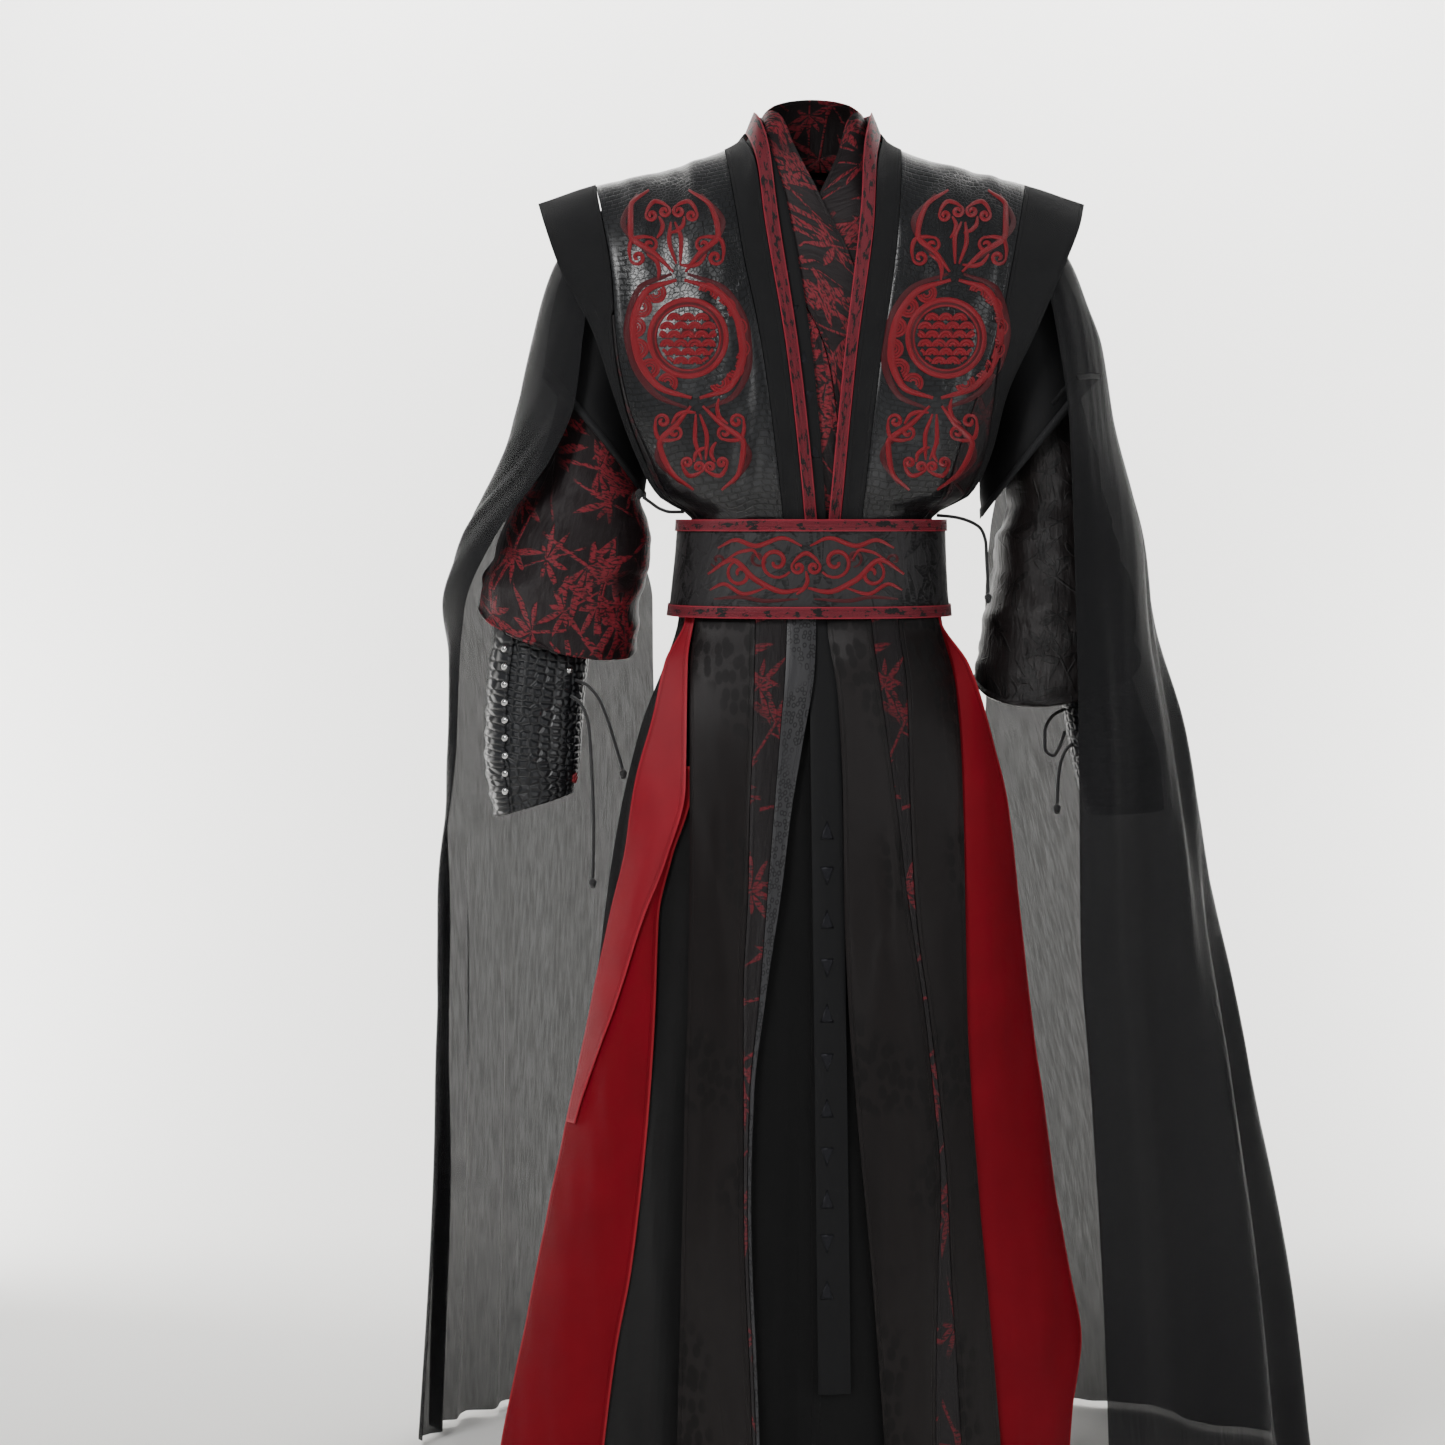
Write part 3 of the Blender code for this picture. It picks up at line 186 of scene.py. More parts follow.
class Nodes:
    """Builds one procedural material from short calls. Coordinates are metres on the flat cloth."""

    def __init__(self, name, sewn=False):
        self.sewn = sewn
        self.material = bpy.data.materials.new(name)
        self.material.use_nodes = True
        self.tree = self.material.node_tree
        self.shader = self.tree.nodes["Principled BSDF"]
        uv = self.tree.nodes.new("ShaderNodeUVMap")
        uv.uv_map = "cloth"
        self.flat = uv.outputs["UV"]
        self.place = self.tree.nodes.new("ShaderNodeTexCoord").outputs["Object"]

    def put(self, kind, inputs=(), out=0, **settings):
        node = self.tree.nodes.new("ShaderNode" + kind)
        for key, value in settings.items():
            setattr(node, key, value)
        for key, value in dict(inputs).items():
            self.join(value, node.inputs[key])
        return node.outputs[out]

    def join(self, value, socket):
        if isinstance(value, bpy.types.NodeSocket):
            self.tree.links.new(value, socket)
        else:
            socket.default_value = value

    def math(self, operation, a, b=0.0, c=0.0):
        return self.put("Math", {0: a, 1: b, 2: c}, operation=operation)

    def scaled(self, vector, x, y, z=1.0):
        return self.put("Mapping", {"Vector": vector, "Scale": (x, y, z)})

    def noise(self, vector, scale, detail=2.0, rough=0.5):
        inputs = {"Vector": vector, "Scale": scale, "Detail": detail, "Roughness": rough}
        return self.put("TexNoise", inputs)

    def voronoi(self, vector, scale, feature="F1", random=1.0):
        inputs = {"Vector": vector, "Scale": scale, "Randomness": random}
        return self.put("TexVoronoi", inputs, "Distance", feature=feature, voronoi_dimensions="2D")

    def step(self, value, low, high):
        """0 below low, 1 above high; the other way round where low is the larger."""
        inputs = {"Value": value, "From Min": low, "From Max": high}
        return self.put("MapRange", inputs, interpolation_type="SMOOTHSTEP")

    def blend(self, share, a, b):
        colours = [(*c, 1.0) if isinstance(c, tuple) else c for c in (a, b)]
        node = self.tree.nodes.new("ShaderNodeMix")
        node.data_type = "RGBA"
        self.join(share, node.inputs[0])
        self.join(colours[0], node.inputs[6])
        self.join(colours[1], node.inputs[7])
        return node.outputs[2]

    def bump(self, height, depth, under=None):
        inputs = {"Height": height, "Distance": depth, "Strength": 1.0}
        if under is not None:
            inputs["Normal"] = under
        return self.put("Bump", inputs)

    def weave(self, per_metre):
        """The height of a fine weave: threads one way over threads the other."""
        threads = []
        for side in (1, -1):
            slanted = self.scaled(self.flat, side * per_metre, per_metre)
            threads.append(self.put("TexWave", {"Vector": slanted, "Scale": 1.0}))
        return self.math("ADD", *threads)

    def sprays(self, vector, per_metre, leaves, width):
        """Sprays of pointed leaves, one to a cell, each turned its own way: 1 on a leaf."""
        inputs = {"Vector": vector, "Scale": per_metre}
        cell = self.put("TexVoronoi", inputs, "Position", voronoi_dimensions="2D")
        tint = self.put("TexVoronoi", inputs, "Color", voronoi_dimensions="2D")
        away = self.put("VectorMath", {0: vector, 1: cell}, operation="SUBTRACT")
        away = self.put("VectorMath", {0: away, "Scale": per_metre}, operation="SCALE")
        parts = self.tree.nodes.new("ShaderNodeSeparateXYZ")
        self.join(away, parts.inputs[0])
        shade = self.tree.nodes.new("ShaderNodeSeparateColor")
        self.join(tint, shade.inputs[0])
        far = self.put("VectorMath", {0: away}, "Value", operation="LENGTH")
        angle = self.math("ARCTAN2", parts.outputs[1], parts.outputs[0])
        angle = self.math("MULTIPLY_ADD", shade.outputs[0], 2 * math.pi, angle)
        turn = self.math("MULTIPLY", angle, leaves / (2 * math.pi))
        off = self.math("ABSOLUTE", self.math("SUBTRACT", self.math("FRACT", turn), 0.5))
        sideways = self.math("MULTIPLY", self.math("MULTIPLY", off, 2 * math.pi / leaves), far)
        longer = self.math("MULTIPLY", shade.outputs[1], 6.0)
        longer = self.math("SINE", self.math("MULTIPLY_ADD", angle, 3.0, longer))
        length = self.math("MULTIPLY_ADD", longer, 0.3 * SPRAY_REACH, 0.7 * SPRAY_REACH)
        along = self.math("MINIMUM", self.math("DIVIDE", far, length), 1.0)
        half = self.math("MULTIPLY", self.math("SINE", self.math("MULTIPLY", along, math.pi)), width)
        leaf = self.step(self.math("SUBTRACT", half, sideways), 0.0, 0.012)
        fan = self.step(self.math("SINE", angle), -0.55, -0.35)
        beside = self.math("ABSOLUTE", self.math("MULTIPLY", self.math("COSINE", angle), far))
        stem = self.step(beside, 0.020, 0.008)
        leaves_shown = self.math("MULTIPLY", leaf, fan)
        return self.math("MAXIMUM", leaves_shown, self.math("MULTIPLY", stem, self.step(far, 0.62, 0.5)))

    def near_edge(self, full, gone):
        """0 along the piece's edges, 1 away from them."""
        away = self.put("Attribute", out="Fac", attribute_name="edge")
        return self.step(away, full, gone)

    def stitches(self):
        """1 on the stitches of the row that runs along the piece's edges."""
        away = self.put("Attribute", out="Fac", attribute_name="edge")
        away = self.math("ABSOLUTE", self.math("SUBTRACT", away, STITCH_INSET))
        row = self.step(away, STITCH_HALF, STITCH_HALF * 0.5)
        parts = self.tree.nodes.new("ShaderNodeSeparateXYZ")
        self.join(self.flat, parts.inputs[0])
        along = self.math("ADD", parts.outputs[0], parts.outputs[1])
        along = self.math("FRACT", self.math("MULTIPLY", along, 1.0 / STITCH_PITCH))
        return self.math("MULTIPLY", row, self.math("LESS_THAN", along, STITCH_SHARE))

    def done(self, colour, rough, normal=None, **more):
        if isinstance(colour, tuple):
            colour = (*colour, 1.0)
        self.join(colour, self.shader.inputs["Base Color"])
        self.join(rough, self.shader.inputs["Roughness"])
        if normal is not None:
            if self.sewn:
                normal = self.bump(self.stitches(), -STITCH_DEPTH, normal)
            self.join(normal, self.shader.inputs["Normal"])
        for key, value in more.items():
            self.join(value, self.shader.inputs[key.replace("_", " ")])
        return self.material


def croc_leather():
    """Glossy black leathercloth embossed in rows of long plates, with smaller ones in places."""
    n = Nodes("croc_leather", sewn=True)
    wander = n.put("TexNoise", {"Vector": n.flat, "Scale": 16.0, "Detail": 1.0}, "Color")
    wander = n.put("VectorMath", {0: wander, 1: (0.5, 0.5, 0.5)}, operation="SUBTRACT")
    wander = n.put("VectorMath", {0: wander, "Scale": 0.030}, operation="SCALE")
    bent = n.put("VectorMath", {0: n.flat, 1: wander}, operation="ADD")
    bricks = {
        "Vector": bent,
        "Scale": 1.0,
        "Mortar Size": 0.00095,
        "Mortar Smooth": 0.35,
        "Brick Width": 0.0092,
        "Row Height": 0.0066,
    }
    groove = n.put("TexBrick", bricks, "Fac", offset=0.5)
    small = n.voronoi(bent, 210.0, feature="DISTANCE_TO_EDGE")
    small = n.step(small, 0.12, 0.03)
    region = n.step(n.noise(n.scaled(n.flat, 7.0, 3.0), 1.0, 1.0), 0.57, 0.64)
    groove = n.put("MixRGB", {"Fac": region, "Color1": groove, "Color2": small})
    creases = n.noise(n.scaled(n.flat, 45.0, 9.0), 1.0, 3.0)
    normal = n.bump(creases, 0.0010)
    normal = n.bump(n.math("SUBTRACT", 1.0, groove), 0.0022, normal)
    colour = n.blend(groove, (0.0042, 0.0046, 0.0056), (0.0008, 0.0008, 0.0009))
    rough = n.math("MULTIPLY_ADD", n.noise(n.flat, 60.0), 0.14, 0.25)
    return n.done(colour, rough, normal, Coat_Weight=0.08, Coat_Roughness=0.2, Specular_IOR_Level=0.52)


MORE_SPRAYS = (((0.37, 0.61, 0.0), 1.30), ((0.83, 0.29, 0.0), 0.85))
DENSE_SPRAYS = (*MORE_SPRAYS, ((0.19, 0.47, 0.0), 1.10))


def jacquard(
    name, ground, figure, per_metre, leaves, width, rough=0.48, share=1.0, more=MORE_SPRAYS
):
    """A figured weave: leaf sprays in one colour on a ground of another, both finely ribbed."""
    n = Nodes(name, sewn=True)
    flat = n.scaled(n.flat, 1.0, 0.8)
    sprays = n.sprays(flat, per_metre, leaves, width)
    for shift, closer in more:
        moved = n.put("Mapping", {"Vector": flat, "Location": shift})
        sprays = n.math("MAXIMUM", sprays, n.sprays(moved, per_metre * closer, leaves + 1, width))
    threads = n.put("TexWave", {"Vector": n.flat, "Scale": 260.0, "Distortion": 1.5}, bands_direction="Y")
    worn = n.step(n.noise(n.scaled(n.flat, 160.0, 420.0), 1.0, 2.0), 0.36, 0.56)
    patch = n.step(n.noise(n.flat, 9.0, 1.0), 0.30, 0.42)
    figure_share = n.math("MULTIPLY", n.math("MULTIPLY", sprays, worn), n.math("MULTIPLY", patch, share))
    deep = tuple(c * 0.45 for c in figure)
    figures = n.blend(n.noise(n.flat, 240.0), deep, figure)
    colour = n.blend(figure_share, n.blend(threads, ground, tuple(c * 1.7 for c in ground)), figures)
    creases = n.noise(n.scaled(n.flat, 150.0, 34.0), 1.0, 3.0)
    normal = n.bump(creases, 0.0012)
    normal = n.bump(n.math("ADD", threads, n.math("MULTIPLY", sprays, 1.5)), 0.00022, normal)
    return n.done(colour, rough, normal, Sheen_Weight=0.02, Sheen_Roughness=0.4, Specular_IOR_Level=0.3)


def trim_brocade():
    """Crimson woven trim with black broken flecks across it."""
    n = Nodes("trim_brocade", sewn=True)
    flecks = n.noise(n.scaled(n.flat, 75.0, 120.0), 1.0, 3.0, 0.62)
    flecks = n.step(flecks, 0.535, 0.575)
    threads = n.put("TexWave", {"Vector": n.flat, "Scale": 330.0}, bands_direction="DIAGONAL")
    red = n.blend(n.noise(n.flat, 130.0), (0.095, 0.0050, 0.0115), (0.165, 0.0090, 0.0195))
    colour = n.blend(flecks, red, (0.0035, 0.0022, 0.0026))
    # Painted highlight: a lighter red along the trim's edges, where they catch the light.
    colour = n.blend(n.near_edge(0.0008, 0.0018), (0.26, 0.012, 0.026), colour)
    normal = n.bump(n.math("ADD", threads, flecks), 0.00025)
    return n.done(colour, 0.5, normal, Sheen_Weight=0.04, Specular_IOR_Level=0.3)


def matte_cloth(name, colour, rough=0.72, crease=0.0012):
    n = Nodes(name, sewn=True)
    weave = n.weave(900.0)
    fibres = n.noise(n.scaled(n.flat, 700.0, 300.0), 1.0, 2.0)
    shade = n.blend(n.noise(n.flat, 24.0), tuple(c * 0.75 for c in colour), tuple(c * 1.3 for c in colour))
    normal = n.bump(n.noise(n.scaled(n.flat, 26.0, 9.0), 1.0, 3.0), crease)
    normal = n.bump(n.math("ADD", weave, fibres), 0.00012, normal)
    return n.done(shade, rough, normal, Sheen_Weight=0.02, Sheen_Roughness=0.6, Specular_IOR_Level=0.22)


def satin(name, colour, rough, crease, aniso, shine, figure=0.0, rim=None):
    """Smooth satin with long soft creases; figure adds a faint tone-on-tone pattern; rim paints a
    highlight along the hems.
    """
    n = Nodes(name, sewn=True)
    creases = n.noise(n.scaled(n.flat, 22.0, 3.2), 1.0, 3.0, 0.45)
    threads = n.put("TexWave", {"Vector": n.flat, "Scale": 900.0, "Distortion": 0.6})
    cells = n.step(n.voronoi(n.scaled(n.flat, 1.0, 0.6), 95.0), 0.50, 0.36)
    patch = n.step(n.noise(n.flat, 6.5, 1.0), 0.50, 0.58)
    figured = n.math("MULTIPLY", n.math("MULTIPLY", cells, patch), figure)
    low, high = tuple(c * 0.8 for c in colour), tuple(c * 1.25 for c in colour)
    base = n.blend(n.noise(n.flat, 15.0), low, high)
    base = n.blend(figured, base, tuple(c * 0.4 for c in colour))
    # Painted highlight: a lighter band along the piece's edges, where the hems catch the light.
    if rim:
        base = n.blend(n.near_edge(0.0012, 0.0030), rim, base)
    normal = n.bump(creases, crease)
    normal = n.bump(threads, 0.00005, normal)
    sheen = {"Sheen_Weight": 0.01, "Sheen_Roughness": 0.35}
    rough_map = n.math("MULTIPLY_ADD", figured, 0.22, rough)
    return n.done(base, rough_map, normal, Anisotropic=aniso, Specular_IOR_Level=shine, **sheen)


def spotted():
    """Grey satin strip with a darker pattern of small open spots."""
    n = Nodes("spotted_satin", sewn=True)
    cell = n.voronoi(n.scaled(n.flat, 1.0, 0.75), 185.0)
    spots = n.math("MULTIPLY", n.step(cell, 0.16, 0.24), n.step(cell, 0.46, 0.36))
    patch = n.step(n.noise(n.flat, 14.0, 1.0), 0.38, 0.46)
    spots = n.math("MULTIPLY", spots, patch)
    colour = n.blend(spots, (0.026, 0.0255, 0.0275), (0.0045, 0.0045, 0.0050))
    normal = n.bump(n.noise(n.scaled(n.flat, 34.0, 7.0), 1.0, 3.0), 0.002)
    return n.done(colour, 0.45, normal, Sheen_Weight=0.05, Specular_IOR_Level=0.35)


def chiffon(name="chiffon", cover=0.74, colour=(0.0042, 0.0042, 0.0050)):
    """Crinkled see-through cloth: fine upright crinkles make it closer in places."""
    n = Nodes(name)
    crinkle = n.noise(n.scaled(n.flat, 420.0, 26.0), 1.0, 3.0, 0.6)
    weave = n.noise(n.scaled(n.flat, 1500.0, 1100.0), 1.0, 1.0)
    closer = n.step(crinkle, 0.30, 0.72)
    alpha = n.math("MULTIPLY_ADD", closer, 0.07, cover - 0.035)
    alpha = n.math("MULTIPLY_ADD", weave, 0.06, alpha)
    alpha = n.math("MINIMUM", alpha, 1.0)
    normal = n.bump(crinkle, 0.00008)
    n.join(alpha, n.shader.inputs["Alpha"])
    return n.done(colour, 0.62, normal, Sheen_Weight=0.03, Sheen_Roughness=0.5, Specular_IOR_Level=0.2)


def scale_leather(name, wide, tall, per_metre):
    """Black leathercloth embossed with small overlapping scales."""
    n = Nodes(name, sewn=True)
    cell = n.voronoi(n.scaled(n.flat, wide, tall), per_metre, feature="DISTANCE_TO_EDGE", random=0.6)
    groove = n.step(cell, 0.10, 0.03)
    lift = n.step(cell, 0.0, 0.34)
    colour = n.blend(groove, (0.0085, 0.0090, 0.0105), (0.0006, 0.0006, 0.0008))
    normal = n.bump(lift, 0.0019)
    normal = n.bump(n.noise(n.flat, 300.0), 0.00006, normal)
    return n.done(colour, 0.36, normal, Coat_Weight=0.12, Coat_Roughness=0.25, Specular_IOR_Level=0.42)


def stitched(name, colour):
    """Embroidery thread laid side by side across each stroke."""
    n = Nodes(name)
    threads = n.put("TexWave", {"Vector": n.flat, "Scale": 620.0, "Distortion": 0.8}, bands_direction="X")
    shade = n.blend(threads, tuple(c * 0.6 for c in colour), tuple(c * 1.15 for c in colour))
    return n.done(shade, 0.4, n.bump(threads, 0.0003), Sheen_Weight=0.06, Sheen_Roughness=0.3)


def metal(name, colour, rough=0.25):
    n = Nodes(name)
    worn = n.noise(n.place, 320.0, 3.0)
    rough_map = n.math("MULTIPLY_ADD", worn, 0.2, rough - 0.1)
    shade = n.blend(worn, tuple(c * 0.85 for c in colour), colour)
    return n.done(shade, rough_map, n.bump(worn, 0.00008), Metallic=1.0)


def braided():
    n = Nodes("braided_cord")
    inputs = {"Vector": n.place, "Scale": 260.0, "Distortion": 2.0}
    strands = n.put("TexWave", inputs, bands_direction="DIAGONAL")
    shade = n.blend(strands, (0.004, 0.004, 0.004), (0.014, 0.014, 0.015))
    return n.done(shade, 0.6, n.bump(strands, 0.0004), Sheen_Weight=0.2)


BAMBOO_GROUND, BAMBOO = (0.0052, 0.0024, 0.0029), (0.240, 0.0150, 0.0260)
STRIP_GROUND, STRIP_BAMBOO = (0.0036, 0.0021, 0.0025), (0.150, 0.0070, 0.0150)
DIM_GROUND, DIM_BAMBOO = (0.0036, 0.0023, 0.0026), (0.050, 0.0038, 0.0070)
DUSK_GROUND, DUSK_FIGURE = (0.0062, 0.0046, 0.0046), (0.0022, 0.0016, 0.0017)
BELT_GROUND, BELT_FIGURE = (0.0170, 0.0160, 0.0166), (0.0042, 0.0040, 0.0042)
CHARCOAL, CHARCOAL_SHINE = (0.0066, 0.0046, 0.0044), 0.21
# The red lining comes in two copies: the first is the lit copy, the second the same red painted darker as
# shade for the panels in shadow.
# The rim colours are lighter reds painted along the hems as their highlight.
CRIMSON, CRIMSON_EDGE_HIGHLIGHT, CRIMSON_SHINE = (0.215, 0.0042, 0.0125), (0.32, 0.012, 0.024), 0.25
SHADED_CRIMSON, SHADED_CRIMSON_EDGE_HIGHLIGHT, SHADED_CRIMSON_SHINE = (0.150, 0.0024, 0.0080), (0.30, 0.018, 0.026), 0.07
MATERIALS = {
    "croc": croc_leather(),
    "bamboo": jacquard(
        "bamboo_jacquard", BAMBOO_GROUND, BAMBOO, 11.5, 9, 0.046, more=DENSE_SPRAYS
    ),
    "bamboo_strip": jacquard("bamboo_strip", STRIP_GROUND, STRIP_BAMBOO, 11.0, 9, 0.048),
    "bamboo_dim": jacquard("bamboo_jacquard_dim", DIM_GROUND, DIM_BAMBOO, 14.0, 8, 0.05, share=0.8),
    "dusk": jacquard("dusk_jacquard", DUSK_GROUND, DUSK_FIGURE, 16.0, 6, 0.07, 0.40),
    "belt": jacquard("belt_jacquard", BELT_GROUND, BELT_FIGURE, 15.0, 7, 0.06, 0.50),
    "trim": trim_brocade(),
    "matte": matte_cloth("matte_cloth", (0.0098, 0.0098, 0.0106)),
    "under": matte_cloth("under_cloth", (0.0024, 0.0023, 0.0025), 0.6, 0.0016),
    "satin": satin("charcoal_satin", CHARCOAL, 0.36, 0.0014, 0.6, CHARCOAL_SHINE, figure=0.8),
    # A lit copy of the red satin for the flap, and a copy with painted shade for the red panels.
    "crimson": satin("crimson_satin", CRIMSON, 0.46, 0.0012, 0.2, CRIMSON_SHINE, rim=CRIMSON_EDGE_HIGHLIGHT),
    "crimson_shaded": satin("crimson_satin_shaded", SHADED_CRIMSON, 0.5, 0.0012, 0.2, SHADED_CRIMSON_SHINE, rim=SHADED_CRIMSON_EDGE_HIGHLIGHT),
    "print": spotted(),
    "chiffon": chiffon(),
    "chiffon_double": chiffon("chiffon_double", 0.99, (0.0034, 0.0034, 0.0039)),
    "scales": scale_leather("scale_leather", 1.0, 1.35, 92.0),
    "plates": scale_leather("plate_leather", 0.40, 1.35, 98.0),
    "thread": stitched("crimson_thread", (0.28, 0.0065, 0.0150)),
    "thread_deep": stitched("deep_red_thread", (0.085, 0.0030, 0.0070)),
    "pewter": metal("pewter", (0.024, 0.024, 0.027), 0.5),
    "silver": metal("silver", (0.55, 0.55, 0.54)),
    "brass": metal("brass", (0.50, 0.34, 0.14)),
    "cord": braided(),
}


CELL = 0.006
CELLS = {
    "gown_front": 0.016,
    "gown_back": 0.012,
    "inner_front": 0.012,
    "inner_back": 0.012,
    "under": 0.010,
    "skirt_back": 0.007,
    "gown_drape": 0.0065,
    "gown_cap": 0.005,
    "vest_wing": 0.005,
    "vest_front": 0.005,
    "vest_collar": 0.0045,
    "inner_sleeve": 0.0045,
    "inner_collar": 0.0045,
    "bracer": 0.0045,
}
LOOKS = {
    "vest_front": "croc",
    "vest_back": "croc",
    "vest_side": "bamboo_dim",
    "vest_collar_trim": "trim",
    "gown": "chiffon_double",
    "gown_drape": "chiffon",
    "inner": "bamboo",
    "inner_sleeve_right": "dusk",
    "belt": "belt",
    "belt_trim": "trim",
    "skirt_satin": "satin",
    "skirt_back": "satin",
    "skirt_brocade": "bamboo_strip",
    "skirt_print": "print",
    # The red panels take the copy with painted shade, the flap the lit copy.
    "skirt_red": "crimson_shaded",
    "skirt_red_left_flap": "crimson",
    "under": "under",
    "bracer": "scales",
}
FEWEST_COLUMNS, LENGTH_STEPS = 4, 24
ROWS_MEASURED, COLUMNS_MEASURED = (0.02, 0.5, 0.98), (0.1, 0.5, 0.9)
SURFACES = {}


def first_of(table, name, other):
    """The value for the longest start of the name that the table holds."""
    found = [key for key in table if name.startswith(key)]
    return table[max(found, key=len)] if found else other


def soft(x, y, seed):
    return noise.noise(Vector((x, y, seed)))


def hanging_creases(x, drop):
    """Soft troughs and ridges of the skirt, alike in every layer so that none crosses another."""
    low = ramp(drop, BELT_BOTTOM, 0.70)
    long_ones = 0.0030 * soft(x * 17, drop * 1.6, 3.1) + 0.0016 * soft(x * 42, drop * 3.0, 8.4)
    return low * (long_ones + 0.0009 * soft(x * 70, drop * 14, 2.2))


def fold(name, point, way, edge):
    """How far a point of a piece is moved out of its plain form by the cloth's folds."""
    x, drop = point.x, -point.z
    free = ramp(edge, 0.0, 0.022)
    if name.startswith("vest_front"):
        tall = 0.0062 * (0.5 + soft(x * 22, drop * 2.2, 1.3)) + 0.0016 * soft(x * 55, drop * 5.0, 5.5)
        return free * (tall + 0.0009 * soft(x * 80, drop * 60, 4.4))
    if name.startswith("vest_back"):
        return free * (0.0030 * (0.6 + soft(x * 20, drop * 3, 7.7)) + 0.001 * soft(x * 60, drop * 9, 2.7))
    if name.startswith("vest_wing"):
        return 0.0012 * ramp(edge, 0.0, 0.02) * soft(x * 18, drop * 22, 3.9)
    if name.startswith("inner_sleeve"):
        loose = ramp(drop, 0.24, 0.44) * free
        across = soft(x * 8 + 4 * drop, drop * 34 + 5 * way, 6.1)
        fine = soft(x * 40, drop * 60, 1.9)
        return loose * (0.0070 * across + 0.0020 * fine) + 0.0010 * free * fine
    if name.startswith("gown_cap"):
        slanted = soft(way * 9.0 + drop * 12.0, drop * 5.0, 2.4)
        return free * (0.0018 + 0.0022 * slanted + 0.0008 * soft(way * 30 + drop * 20, drop * 8, 9.1))
    if name.startswith("gown_drape"):
        low = ramp(drop, 0.16, 0.75)
        pleats = 0.0100 * soft(way * 15, drop * 0.9, 4.2) + 0.0055 * soft(way * 38, drop * 1.5, 7.4)
        return low * pleats + 0.0010 * ramp(drop, 0.10, 0.2) * soft(way * 90, drop * 3.5, 2.9)
    if name.startswith(("skirt_back", "under_side")):
        return 0.0016 * ramp(drop, 0.52, 0.8) * soft(x * 20, drop * 2.2, 5.0)
    if name.startswith(("skirt", "under_front", "gown_front_band")):
        return hanging_creases(x, drop)
    if name.startswith("bracer"):
        return 0.0009 * soft(x * 30, drop * 12, 3.3)
    if name == "belt":
        return 0.0006 * free * soft(x * 14, drop * 30, 6.6)
    return 0.0


def length(points):
    """The length of a way through points."""
    return sum((Vector(b) - Vector(a)).length for a, b in zip(points, points[1:]))


def cloth(name, surface, across, down, wall, closed=False, flip=False):
    """A node's cloth on a fine grid, with its folds: u runs to the right seen from outside, v down."""
    cell = first_of(CELLS, name, CELL)

    shares = [i / LENGTH_STEPS for i in range(LENGTH_STEPS + 1)]
    wide = max(length([surface(u, v) for u in shares]) for v in ROWS_MEASURED)
    tall = max(length([surface(u, v) for v in shares]) for u in COLUMNS_MEASURED)
    across = max(across * max(round(wide / cell / across), 1), FEWEST_COLUMNS)
    down *= max(round(tall / cell / down), 1)
    grid = [[Vector(surface(j / across, i / down)) for j in range(across + 1)] for i in range(down + 1)]
    row_ways, column_ways = [], [[0.0] * (across + 1)]
    for i, row in enumerate(grid):
        ways = [0.0]
        for a, b in zip(row, row[1:]):
            ways.append(ways[-1] + (b - a).length)
        row_ways.append(ways)
        if i:
            steps = [(b - a).length for a, b in zip(grid[i - 1], row)]
            column_ways.append([way + step for way, step in zip(column_ways[-1], steps)])
    moved, edges = [], []
    for i, row in enumerate(grid):
        above, below = grid[max(i - 1, 0)], grid[min(i + 1, down)]
        for j, point in enumerate(row[: across if closed else across + 1]):
            before = row[j - 1] if j else (row[across - 1] if closed else row[0])
            after = row[min(j + 1, across)]
            out = (below[j] - above[j]).cross(after - before)
            out = out.normalized() * (-1 if flip else 1)
            sides = (column_ways[i][j], column_ways[down][j] - column_ways[i][j])
            if not closed:
                sides += (row_ways[i][j], row_ways[i][across] - row_ways[i][j])
            edge = min(sides)
            moved.append(point + out * fold(name, point, row_ways[i][j], edge))
            edges.append(edge)
    columns = across if closed else across + 1
    faces, corners_flat = [], []
    origin = across // 4 if closed else across // 2
    for i in range(down):
        for j in range(across):
            k = (j + 1) % columns
            corners = [(i, j, j), (i + 1, j, j), (i + 1, k, j + 1), (i, k, j + 1)]
            if flip:
                corners.reverse()
            faces.append([row * columns + column for row, column, _ in corners])
            for row, _, place in corners:
                middle = row_ways[row][origin]
                corners_flat.append((row_ways[row][place] - middle, -column_ways[row][origin]))
    mesh = bpy.data.meshes.new(name + "_cloth")
    mesh.from_pydata(moved, [], faces)
    flat = mesh.uv_layers.new(name="cloth")
    for corner, place in zip(flat.data, corners_flat):
        corner.uv = place
    near = mesh.attributes.new("edge", "FLOAT", "POINT")
    near.data.foreach_set("value", edges)
    piece = show(name + "_cloth", mesh, first_of(LOOKS, name, "matte"))
    shell = piece.modifiers.new("wall", "SOLIDIFY")
    shell.thickness = wall
    shell.offset = -1.0
    shell.use_even_offset = False
    piece.modifiers.new("normals", "WEIGHTED_NORMAL")
    SURFACES[name] = BVHTree.FromPolygons(moved, faces)
    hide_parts(name)


def show(name, data, look):
    """A piece in the scene, smooth, with its material, fixed to the set."""
    piece = bpy.data.objects.new(name, data)
    bpy.context.scene.collection.objects.link(piece)
    data.materials.append(MATERIALS[look])
    if isinstance(data, bpy.types.Mesh):
        data.shade_smooth()
    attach(piece, "root")
    return piece


def between(inner, outer, t):
    """A place between two edges, kept half a seam gap from each."""
    half = math.copysign(SEAM / 2, outer - inner) if abs(outer - inner) > 4 * SEAM else 0.0
    return mix(inner + half, outer - half, t)


